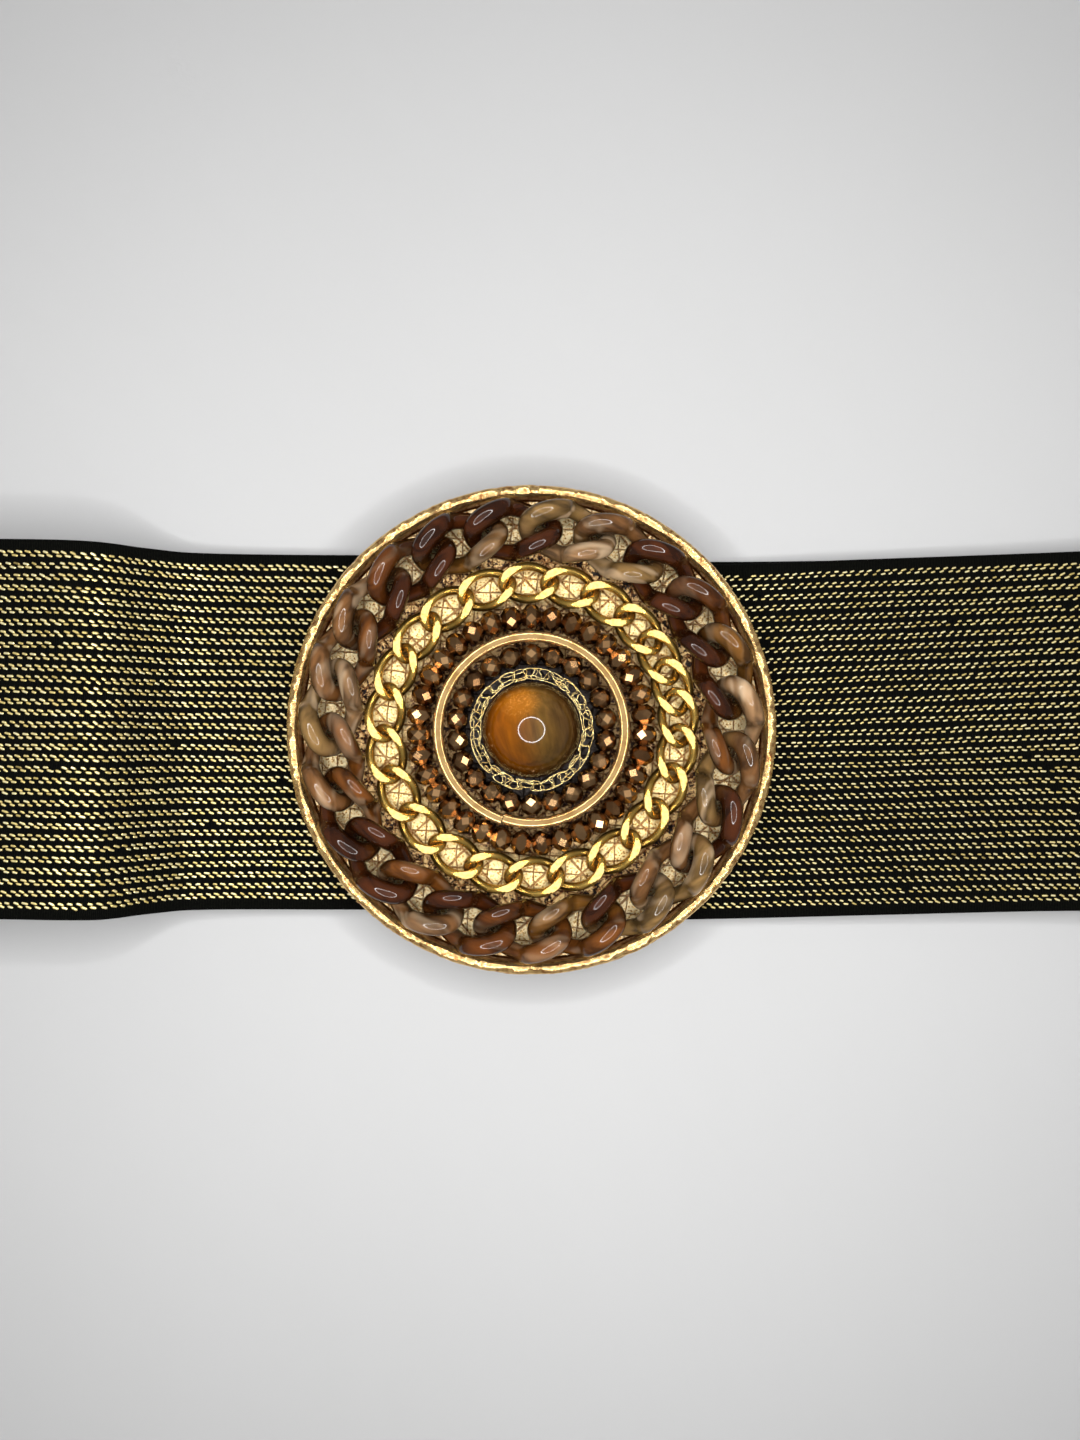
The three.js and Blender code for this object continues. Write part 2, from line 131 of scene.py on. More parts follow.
def grid_faces(rows: int, columns: int, close_rows: bool = True, close_columns: bool = True) -> np.ndarray:
    """The four-cornered faces of a grid of points that is numbered row by row.

    Args:
        rows: How many rows the grid has.
        columns: How many points are in a row.
        close_rows: Whether the last row joins the first.
        close_columns: Whether the last point of a row joins its first.

    Returns:
        An array of faces with four corners each.
    """
    i = np.arange(rows if close_rows else rows - 1)[:, None]
    j = np.arange(columns if close_columns else columns - 1)[None, :]
    here, there = i * columns, ((i + 1) % rows) * columns
    k = (j + 1) % columns
    return np.stack([here + j, there + j, there + k, here + k], axis=-1).reshape(-1, 4)


def flattened(wave: np.ndarray, power: float) -> np.ndarray:
    """A sine or cosine raised to a power that keeps its sign: under 1 gives flatter tops.

    Args:
        wave: Values from -1 to 1.
        power: The power.

    Returns:
        The new values.
    """
    return np.sign(wave) * np.abs(wave) ** power


def turned_shape(points: np.ndarray, low: float, high: float) -> Shape:
    """A closed shape from sections that stand round the Z axis, each read from the underside's middle
    round its outside to the top's middle.

    Args:
        points: The sections, each a row of points.
        low: The height of the underside's middle.
        high: The height of the top's middle.

    Returns:
        The shape, with a fan of triangles round each middle.
    """
    rows, columns = points.shape[:2]
    body = points.reshape(-1, 3)
    i = np.arange(rows)
    j = (i + 1) % rows
    foot = np.stack([np.full(rows, len(body)), j * columns, i * columns], axis=1)
    crown = np.stack([np.full(rows, len(body) + 1), (i + 1) * columns - 1, (j + 1) * columns - 1], axis=1)
    sides = grid_faces(rows, columns, close_columns=False)[:, ::-1]
    return Shape(np.vstack([body, [(0, 0, low), (0, 0, high)]]), [np.vstack([foot, crown]), sides])


def merged(shapes: list[Shape]) -> Shape:
    """Joins shapes that have the same attributes into one.

    Args:
        shapes: The shapes to join.

    Returns:
        One shape that holds them all.
    """
    starts = np.cumsum([0] + [len(s.points) for s in shapes[:-1]])
    faces = [f + start for s, start in zip(shapes, starts) for f in s.faces]
    counts = sorted({f.shape[1] for f in faces})
    by_corners = [np.concatenate([f for f in faces if f.shape[1] == n]) for n in counts]
    uv = None if shapes[0].uv is None else np.concatenate([s.uv for s in shapes])
    tint = None if shapes[0].tint is None else np.concatenate([s.tint for s in shapes])
    return Shape(np.concatenate([s.points for s in shapes]), by_corners, uv, tint)


def make_object(
    name: str, shape: Shape, materials: list[bpy.types.Material], smooth: bool = True, crease: float = 0.0
) -> bpy.types.Object:
    """Makes a mesh object at the origin from a shape.

    Args:
        name: The piece's name.
        shape: Its points and faces, in millimetres.
        materials: Its material slots.
        smooth: Whether its faces are shaded smooth.
        crease: The angle in degrees past which an edge stays sharp, or 0 for no sharp edges.

    Returns:
        The object, linked to the scene.
    """
    mesh = bpy.data.meshes.new(name)
    corners = np.concatenate([f.ravel() for f in shape.faces]).astype(np.int32)
    totals = np.concatenate([np.full(len(f), f.shape[1], np.int32) for f in shape.faces])
    starts = np.concatenate([[0], np.cumsum(totals)[:-1]]).astype(np.int32)
    mesh.vertices.add(len(shape.points))
    mesh.vertices.foreach_set("co", (shape.points * MM).astype(np.float32).ravel())
    mesh.loops.add(len(corners))
    mesh.loops.foreach_set("vertex_index", corners)
    mesh.polygons.add(len(totals))
    mesh.polygons.foreach_set("loop_start", starts)
    mesh.polygons.foreach_set("use_smooth", np.full(len(totals), smooth))
    if shape.uv is not None:
        layer = mesh.uv_layers.new(name="weave")
        layer.data.foreach_set("uv", shape.uv[corners].astype(np.float32).ravel())
    if shape.tint is not None:
        attribute = mesh.attributes.new("tint", "FLOAT_COLOR", "POINT")
        attribute.data.foreach_set("color", shape.tint.astype(np.float32).ravel())
    if shape.grain is not None:
        attribute = mesh.attributes.new("grain", "FLOAT_VECTOR", "POINT")
        attribute.data.foreach_set("vector", shape.grain.astype(np.float32).ravel())
    mesh.update(calc_edges=True)
    mesh.validate()
    if crease:
        mesh.set_sharp_from_angle(angle=math.radians(crease))
    for material in materials:
        mesh.materials.append(material)
    made = bpy.data.objects.new(name, mesh)
    bpy.context.scene.collection.objects.link(made)
    return made


def face_middles(piece: bpy.types.Object) -> np.ndarray:
    """Reads where a piece's faces are.

    Args:
        piece: The object.

    Returns:
        The middle of each face, in millimetres.
    """
    middles = np.empty(len(piece.data.polygons) * 3, np.float32)
    piece.data.polygons.foreach_get("center", middles)
    return middles.reshape(-1, 3) / MM


def report_piece(piece: bpy.types.Object, slot: str, *replaced: str) -> bpy.types.Object:
    """Puts a piece on the belt's body, hides the CAD nodes that it stands for and logs how many faces it has.

    Args:
        piece: The finished object.
        slot: The record's material slot. It is not used.
        *replaced: The CAD nodes that it stands for.

    Returns:
        The same object.
    """
    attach(piece, BODY)
    if replaced:
        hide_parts(*replaced)
    log.info("%s: %d faces", piece.name, len(piece.data.polygons))
    return piece


def polar(degrees: np.ndarray, radius: np.ndarray, height: np.ndarray) -> np.ndarray:
    """Points on the disc: x is the radius times the sine of the clock angle, y times its cosine.

    Args:
        degrees: Clock angles.
        radius: Distances from the disc's middle.
        height: Heights over the surface.

    Returns:
        An array of points.
    """
    angle = np.radians(degrees)
    return np.stack(np.broadcast_arrays(radius * np.sin(angle), radius * np.cos(angle), height), axis=-1)


# Finishes


def linear(colour: str) -> tuple[float, float, float, float]:
    """Turns an sRGB hex colour to linear values with full alpha.

    Args:
        colour: Six hex digits.

    Returns:
        Red, green, blue and alpha.
    """
    parts = [int(colour[i : i + 2], 16) / 255 for i in (0, 2, 4)]
    values = [c / 12.92 if c <= 0.04045 else ((c + 0.055) / 1.055) ** 2.4 for c in parts]
    return (values[0], values[1], values[2], 1.0)


def connect(tree: bpy.types.NodeTree, node: bpy.types.Node, inputs: dict[int | str, Value]) -> None:
    """Sets or links a node's inputs.

    Args:
        tree: The node tree.
        node: The node that takes them.
        inputs: Numbers, hex colours or output sockets, by input name or number.
    """
    for key, value in inputs.items():
        if isinstance(value, bpy.types.NodeSocket):
            tree.links.new(value, node.inputs[key])
        else:
            node.inputs[key].default_value = linear(value) if isinstance(value, str) else value


def add_node(
    tree: bpy.types.NodeTree, kind: str, inputs: dict[int | str, Value] | None = None, **settings: object
) -> bpy.types.Node:
    """Adds a shader node with its settings and its inputs.

    Args:
        tree: The material's node tree.
        kind: The node's type without its "ShaderNode" prefix.
        inputs: Numbers, hex colours or output sockets, by input name or number.
        **settings: Properties of the node.

    Returns:
        The node.
    """
    node = tree.nodes.new("ShaderNode" + kind)
    for name, value in settings.items():
        setattr(node, name, value)
    connect(tree, node, inputs or {})
    return node


@dataclass
class Graph:
    """The nodes of one material. Nearly every method adds a node and returns the socket it gives out.

    Attributes:
        tree: The material's node tree.
        shader: Its Principled shader.
    """

    tree: bpy.types.NodeTree
    shader: bpy.types.Node

    def feed(self, inputs: dict[int | str, Value]) -> None:
        """Sets or links the shader's inputs.

        Args:
            inputs: Numbers, hex colours or output sockets, by input name.
        """
        connect(self.tree, self.shader, inputs)

    def place(self) -> Socket:
        """Reads the place on the object.

        Returns:
            The place, in metres.
        """
        return add_node(self.tree, "TexCoord").outputs["Object"]

    def attribute(self, name: str, output: str) -> Socket:
        """Reads an attribute of the mesh.

        Args:
            name: The attribute.
            output: Which of its readings is meant.

        Returns:
            The reading.
        """
        return add_node(self.tree, "Attribute", attribute_name=name).outputs[output]

    def mapped(self, vector: Socket, scale: tuple[float, float, float], degrees: float = 0.0) -> Socket:
        """Scales a vector and turns it about Z.

        Args:
            vector: The vector.
            scale: The factor on each axis.
            degrees: The turn.

        Returns:
            The new vector.
        """
        turn = (0.0, 0.0, math.radians(degrees))
        return add_node(self.tree, "Mapping", {"Vector": vector, "Rotation": turn, "Scale": scale}).outputs[0]

    def part(self, vector: Socket, axis: int) -> Socket:
        """Reads one number of a vector.

        Args:
            vector: The vector.
            axis: 0, 1 or 2.

        Returns:
            The number.
        """
        return add_node(self.tree, "SeparateXYZ", {0: vector}).outputs[axis]

    def noise(
        self,
        vector: Socket,
        scale: float,
        detail: float,
        bend: float = 0.0,
        rough: float = 0.5,
        output: int = 0,
    ) -> Socket:
        """Cloudy noise about 0.5.

        Args:
            vector: Where it is read.
            scale: Clouds for each unit of the vector.
            detail: Octaves of finer clouds.
            bend: How far the clouds are drawn about.
            rough: How strong the finer clouds are.
            output: 0 for a number, 1 for three of them as a colour.

        Returns:
            The noise.
        """
        inputs = {"Vector": vector, "Scale": scale, "Detail": detail, "Distortion": bend, "Roughness": rough}
        return add_node(self.tree, "TexNoise", inputs).outputs[output]

    def ramp(self, share: Socket, *stops: tuple[float, str]) -> Socket:
        """Turns a number to a colour.

        Args:
            share: The number.
            *stops: Places and hex colours, in order.

        Returns:
            The colour.
        """
        node = add_node(self.tree, "ValToRGB", {"Fac": share})
        elements = node.color_ramp.elements
        for i, (place, colour) in enumerate((stops[0], stops[-1], *stops[1:-1])):
            element = elements[i] if i < 2 else elements.new(place)
            element.position = place
            element.color = linear(colour)
        return node.outputs[0]

    def fit(
        self, value: Socket, low: float, high: float, start: float = 0.0, end: float = 1.0, soft: bool = False
    ) -> Socket:
        """Carries one span of numbers to another and stops at its ends.

        Args:
            value: The number.
            low: Where it starts to count.
            high: Where it stops to count.
            start: What it gives up to the first.
            end: What it gives from the second on.
            soft: Whether the change starts and ends gently.

        Returns:
            The new number.
        """
        kind = "SMOOTHSTEP" if soft else "LINEAR"
        inputs = {0: value, 1: low, 2: high, 3: start, 4: end}
        return add_node(self.tree, "MapRange", inputs, interpolation_type=kind).outputs[0]

    def math(self, operation: str, *values: Value) -> Socket:
        """Reckons with numbers.

        Args:
            operation: What is done.
            *values: What it is done to.

        Returns:
            The result.
        """
        return add_node(self.tree, "Math", dict(enumerate(values)), operation=operation).outputs[0]

    def vector(self, operation: str, *values: Value, output: int | str = 0) -> Socket:
        """Reckons with vectors.

        Args:
            operation: What is done.
            *values: What it is done to.
            output: "Value" where the result is a number.

        Returns:
            The result.
        """
        return add_node(self.tree, "VectorMath", dict(enumerate(values)), operation=operation).outputs[output]

    def mix(self, share: Value, under: Value, over: Value, blend: str = "MIX") -> Socket:
        """Mixes two colours.

        Args:
            share: How much of the second is there.
            under: The first colour.
            over: The second one.
            blend: How the second goes over the first.

        Returns:
            The colour.
        """
        inputs = {0: share, 6: under, 7: over}
        return add_node(self.tree, "Mix", inputs, data_type="RGBA", blend_type=blend).outputs[2]

    def bump(self, height: Socket, strength: float, distance: float) -> Socket:
        """Tilts the surface's direction by a height.

        Args:
            height: The height, from 0 to 1.
            strength: How much of the tilt is used.
            distance: The height in metres that 1 stands for.

        Returns:
            The direction.
        """
        inputs = {"Height": height, "Strength": strength, "Distance": distance}
        return add_node(self.tree, "Bump", inputs).outputs[0]

    def painted_low_shade(self, colour: Socket, painted_shade: str, top: float, bottom: float, soft: bool) -> Socket:
        """Darkens a colour from one height down to another, as painted shade in low places.

        Args:
            colour: The colour above.
            painted_shade: The hex colour below.
            top: The height in millimetres down to which the first is clear.
            bottom: The height from which only the shade colour is left.
            soft: Whether the change starts and ends gently.

        Returns:
            The colour.
        """
        height = self.part(self.place(), 2)
        return self.mix(self.fit(height, bottom * MM, top * MM, soft=soft), painted_shade, colour)


@dataclass(frozen=True)
class Finish:
    """What every finish has: a name, and a shader that its own method feeds.

    Attributes:
        name: The material's name.
        roughness: The shader's roughness.
        metallic: The shader's metallic value.
    """

    name: str
    roughness: float
    metallic: float

    def paint(self, graph: Graph) -> None:
        """Feeds the shader, each finish in its own way.

        Args:
            graph: The material's nodes.
        """
        raise NotImplementedError

    def material(self) -> bpy.types.Material:
        """Makes the material.

        Returns:
            The finished material.
        """
        material = bpy.data.materials.new(self.name)
        material.use_nodes = True
        tree = material.node_tree
        tree.nodes.clear()
        shader = add_node(tree, "BsdfPrincipled", {"Roughness": self.roughness, "Metallic": self.metallic})
        add_node(tree, "OutputMaterial", {"Surface": shader.outputs[0]})
        self.paint(Graph(tree, shader))
        return material


@dataclass(frozen=True)
class WovenElastic(Finish):
    """Covered rubber warps in black polyester: dull, with a fine grain of crossing yarns."""

    dark: str = "010101"
    light: str = "10110C"
    yarn_mm: float = 0.42

    def paint(self, graph: Graph) -> None:
        """Crosses a noise of yarns with a wave of picks.

        Args:
            graph: The material's nodes.
        """
        scale = 1 / (self.yarn_mm * MM)
        sized = graph.mapped(add_node(graph.tree, "UVMap", uv_map="weave").outputs[0], (scale,) * 3)
        wave = {"Vector": sized, "Scale": 0.5, "Distortion": 2.5, "Detail": 1.0}
        picks = add_node(graph.tree, "TexWave", wave).outputs["Fac"]
        both = graph.math("MULTIPLY", graph.noise(sized, 1.0, 2.0), picks)
        colour = graph.ramp(both, (0.12, self.dark), (0.6, self.light))
        bump = graph.bump(both, 0.6, 0.00012)
        graph.feed({"Base Color": colour, "Normal": bump, "Specular IOR Level": 0.05})


@dataclass(frozen=True)
class LurexYarn(Finish):
    """Flat metallised film yarn: small gold floats, each with a painted highlight on its top ridge and
    painted shade at its sides and tips, and a brightness that differs at random.
    """

    shaded: str = "54401A"
    middle: str = "F2D986"
    bright: str = "FFFBD8"

    def paint(self, graph: Graph) -> None:
        """Reads each float's tint: its own random brightness with the painted highlight and shade on it.

        Args:
            graph: The material's nodes.
        """
        tint = graph.attribute("tint", "Fac")
        colour = graph.ramp(tint, (0.0, self.shaded), (0.45, self.middle), (1.0, self.bright))
        graph.feed({"Base Color": colour})


@dataclass(frozen=True)
class PlatedMetal(Finish):
    """Plated zinc or steel: a clear colour with a faint cloud of wear and fine pits. Where a shade colour is
    given, the metal darkens to it between two heights: painted shade in its low places."""

    colour: str
    worn: str
    grain_mm: float
    grain: float
    painted_shade: str = ""
    shade_from: float = 0.0
    shade_to: float = 0.0

    def paint(self, graph: Graph) -> None:
        """Clouds the colour, darkens it low down with painted shade and pits the surface.

        Args:
            graph: The material's nodes.
        """
        cloud = graph.noise(graph.place(), 1 / (self.grain_mm * MM), 3.0)
        colour = graph.ramp(cloud, (0.3, self.worn), (0.55, self.colour))
        # Painted shade: the colour darkens towards the low places.
        if self.painted_shade:
            colour = graph.painted_low_shade(colour, self.painted_shade, self.shade_from, self.shade_to, soft=True)
        graph.feed({"Base Color": colour, "Normal": graph.bump(cloud, self.grain, 0.0001)})


@dataclass(frozen=True)
class ScribedPlate(Finish):
    """Gold plate scribed with crossing lines, square and diagonal, over a fine sandy cast grain. Its colour
    is painted nearly black under the cord and stone as painted shade; between the beads glue and painted
    shade leave it dark; between the two chains it is coppery and darker, partly painted shade. Between the
    beads and between the two chains it also carries painted glints and painted shade spots. Each set of lines
    has its turn in degrees and its wider spacing. The colours of its rings and the places of the painted
    glints go by the share of the disc's radius."""

    groove: str = "B07440"
    line_mm: float = 1.3
    line_share: float = 0.12
    lines: tuple[tuple[float, float], ...] = ((4.0, 1.0), (94.0, 1.1), (49.0, 1.5), (-41.0, 1.6))
    wander: float = 0.0012
    grain_mm: float = 0.36
    painted_glint_mm: float = 0.7
    # Colours by share of the radius: near black under the cord and stone and dark between the beads as
    # painted shade, coppery and darker between the chains, partly painted shade.
    zones: tuple[tuple[float, str], ...] = (
        (0.0, "1E1006"), (0.285, "1E1006"), (0.3, "4A2E18"), (0.51, "6A4526"), (0.54, "FFE4A2"),
        (0.66, "FFE4A2"), (0.685, "B87840"), (0.725, "B87840"), (0.76, "FFE8B4"), (0.92, "FFE8B4"),
        (1.0, "D8A868"),
    )  # fmt: skip
    # Where painted glints and painted shade spots replace the plain colour.
    painted_glint_zones: tuple[tuple[float, str], ...] = (
        (0.285, "000000"), (0.3, "D0D0D0"), (0.51, "D0D0D0"), (0.54, "000000"),
        (0.67, "000000"), (0.69, "FFFFFF"), (0.73, "FFFFFF"), (0.755, "000000"),
    )  # fmt: skip

    def paint(self, graph: Graph) -> None:
        """Draws the plate: each set of lines is a ridge of a turned coordinate folded to and fro.

        Args:
            graph: The material's nodes.
        """
        place = graph.place()
        stray = graph.noise(place, 160.0, 1.0, output=1)
        shifted = graph.vector("MULTIPLY_ADD", stray, (self.wander, self.wander, 0.0), place)
        clear = None
        for turn, pitch in self.lines:
            along = graph.part(graph.mapped(shifted, (1 / (self.line_mm * pitch * MM),) * 3, turn), 0)
            line = graph.fit(graph.math("PINGPONG", along, 1.0), 0.0, self.line_share, soft=True)
            clear = line if clear is None else graph.math("MINIMUM", clear, line)
        grain = graph.noise(place, 1 / (self.grain_mm * MM), 2.0)
        radius = graph.vector("LENGTH", graph.vector("MULTIPLY", place, (1.0, 1.0, 0.0)), output="Value")
        share = graph.math("MULTIPLY", radius, 1 / (DISC_RADIUS * MM))
        speckled = graph.ramp(grain, (0.3, "7A5430"), (0.4, "EACC98"), (0.5, "FFFFFF"))
        plain = graph.mix(1.0, graph.ramp(share, *self.zones), speckled, "MULTIPLY")
        # Painted glints and painted shade spots from a cloud of noise.
        rough = graph.noise(place, 1 / (self.painted_glint_mm * MM), 3.0, rough=0.7)
        painted_glints_and_shade = graph.ramp(rough, (0.42, "160A04"), (0.475, "8E5622"), (0.525, "FFD690"))
        base = graph.mix(graph.ramp(share, *self.painted_glint_zones), plain, painted_glints_and_shade)
        colour = graph.mix(clear, graph.mix(0.8, base, self.groove, "MULTIPLY"), base)
        height = graph.math("MULTIPLY_ADD", grain, 0.9, clear)
        graph.feed({"Base Color": colour, "Normal": graph.bump(height, 1.0, 0.00018)})


@dataclass(frozen=True)
class TortoiseAcrylic(Finish):
    """Marbled cast acrylic, tumbled smooth: soft brown clouds drawn out along each link, milky in
    places, under a clear gloss. A little light goes through, so thin edges glow reddish."""

    cloud: float = 0.75
    milk: str = "E0C29C"

    def paint(self, graph: Graph) -> None:
        """Darkens with clouds each link's own tint, which carries painted light and shade, along the link.

        Args:
            graph: The material's nodes.
        """
        grain = graph.attribute("grain", "Vector")
        swirl = graph.noise(grain, 1.0, 2.0, bend=0.5)
        depth = graph.ramp(swirl, (0.37, "5E5E5E"), (0.6, "FFFFFF"))
        shaded = graph.mix(self.cloud, graph.attribute("tint", "Color"), depth, "MULTIPLY")
        other = {"Vector": grain, "Scale": 0.7, "Detail": 1.0, "Distortion": 1.0, "W": 3.0}
        vein = add_node(graph.tree, "TexNoise", other, noise_dimensions="4D").outputs[0]
        milky = graph.fit(vein, 0.5, 0.7, end=0.8, soft=True)
        amount = graph.math("MULTIPLY", milky, graph.attribute("tint", "Alpha"))
        graph.feed(
            {
                "Base Color": graph.mix(amount, shaded, self.milk),
                "IOR": 1.49,
                "Specular IOR Level": 0.5,
                "Subsurface Weight": 0.04,
                "Subsurface Radius": (1.0, 0.42, 0.18),
                "Subsurface Scale": 1.6 * MM,
            }
        )


@dataclass(frozen=True)
class BronzeGlass(Finish):
    """Cut glass beads with a fired metallic coat: mirror-bright brown facets on top, and a colour painted
    nearly black low down as painted shade, where the beads only mirror each other."""

    dull: str = "906844"
    bright: str = "CAA070"
    painted_shade: str = "1C0E06"
    shade_from: float = REST_Z + 3.6
    shade_to: float = REST_Z + 2.1

    def paint(self, graph: Graph) -> None:
        """Changes the colour a little from bead to bead at random and darkens it low down as painted shade.

        Args:
            graph: The material's nodes.
        """
        colour = graph.ramp(graph.attribute("tint", "Fac"), (0.0, self.dull), (1.0, self.bright))
        # Painted shade: nearly black below the beads' upper parts.
        graph.feed({"Base Color": graph.painted_low_shade(colour, self.painted_shade, self.shade_from, self.shade_to, soft=False)})


@dataclass(frozen=True)
class AmberStone(Finish):
    """Polished tiger-eye like cabochon: amber on the left with a bright patch near the top, grey-olive on the
    right, with soft upright streaks that the polish shows far down. Painted light makes it lighter towards
    the top, and painted shade darker towards the bottom and round its edge. The sides are its colours from
    left to right, and painted glints on scratches lie in the patch."""

    turn: float = -14.0
    sides: tuple[tuple[float, str], ...] = (
        (0.0, "8A4400"), (0.3, "945204"), (0.48, "7E4C10"),
        (0.62, "70501E"), (0.8, "583E1A"), (1.0, "46290C"),
    )  # fmt: skip
    patch_at: tuple[float, float, float] = (-1.8, 4.6, 14.5)
    patch: str = "B8701C"
    scratch_glint: str = "E89C40"
    edge: str = "2C1404"

    def paint(self, graph: Graph) -> None:
        """Draws a turned ramp across the dome, streaks along it, the patch with its painted glints, painted
        light at the top fading to painted shade at the bottom, and painted shade at the edge.

        Args:
            graph: The material's nodes.
        """
        place = graph.place()
        scale = 1 / (STONE_RADIUS * MM)
        turned = graph.mapped(place, (scale,) * 3, self.turn)
        bent = graph.math("MULTIPLY_ADD", graph.noise(turned, 1.1, 3.0, bend=0.8), 1.1, graph.part(turned, 0))
        colour = graph.ramp(graph.fit(bent, -0.45, 1.55), *self.sides)
        streaks = graph.noise(graph.mapped(turned, (5.0, 0.7, 5.0)), 1.6, 5.0, bend=0.5)
        colour = graph.mix(0.75, colour, streaks, "OVERLAY")
        middle = tuple(v * MM for v in self.patch_at)
        away = graph.vector("DISTANCE", place, middle, output="Value")
        patch = graph.fit(away, 1 * MM, 4 * MM, 0.55, 0.0, soft=True)
        colour = graph.mix(patch, colour, self.patch)
        # Painted glints on scratches, only within the patch.
        scratch_glint_mask = graph.fit(graph.noise(turned, 9.0, 4.0, bend=2.5), 0.5, 0.66)
        colour = graph.mix(graph.math("MULTIPLY", patch, scratch_glint_mask), colour, self.scratch_glint)
        # Painted light and shade: lighter towards the top, darker towards the bottom.
        light = graph.fit(graph.part(place, 1), -8 * MM, 5 * MM, 0.2, 1.15)
        lit = add_node(graph.tree, "VectorMath", {0: colour, "Scale": light}, operation="SCALE").outputs[0]
        # Painted shade: darker round the dome's edge.
        out = graph.vector("LENGTH", graph.vector("MULTIPLY", place, (scale, scale, 0.0)), output="Value")
        rimmed = graph.mix(graph.fit(out, 0.74, 1.0, end=0.8, soft=True), lit, self.edge)
        graph.feed({"Base Color": rimmed, "IOR": 1.54, "Specular IOR Level": 0.45})


@dataclass(frozen=True)
class PaleTable(Finish):
    """A matt pale grey table top."""

    colour: str = "C9C9C9"
    cloud: str = "C5C5C5"

    def paint(self, graph: Graph) -> None:
        """Clouds the grey a little.

        Args:
            graph: The material's nodes.
        """
        colour = graph.ramp(graph.noise(graph.place(), 6.0, 2.0), (0.3, self.cloud), (0.7, self.colour))
        graph.feed({"Base Color": colour, "Specular IOR Level": 0.2})


@dataclass(frozen=True)
class Glow(Finish):
    """A lamp's milky cover: it only gives light and mirrors none."""

    strength: float

    def paint(self, graph: Graph) -> None:
        """Makes the surface black and lets it glow white.

        Args:
            graph: The material's nodes.
        """
        white = {"Emission Color": "FFFFFF", "Emission Strength": self.strength}
        graph.feed({"Base Color": "000000", "Specular IOR Level": 0.0, **white})


# The strap


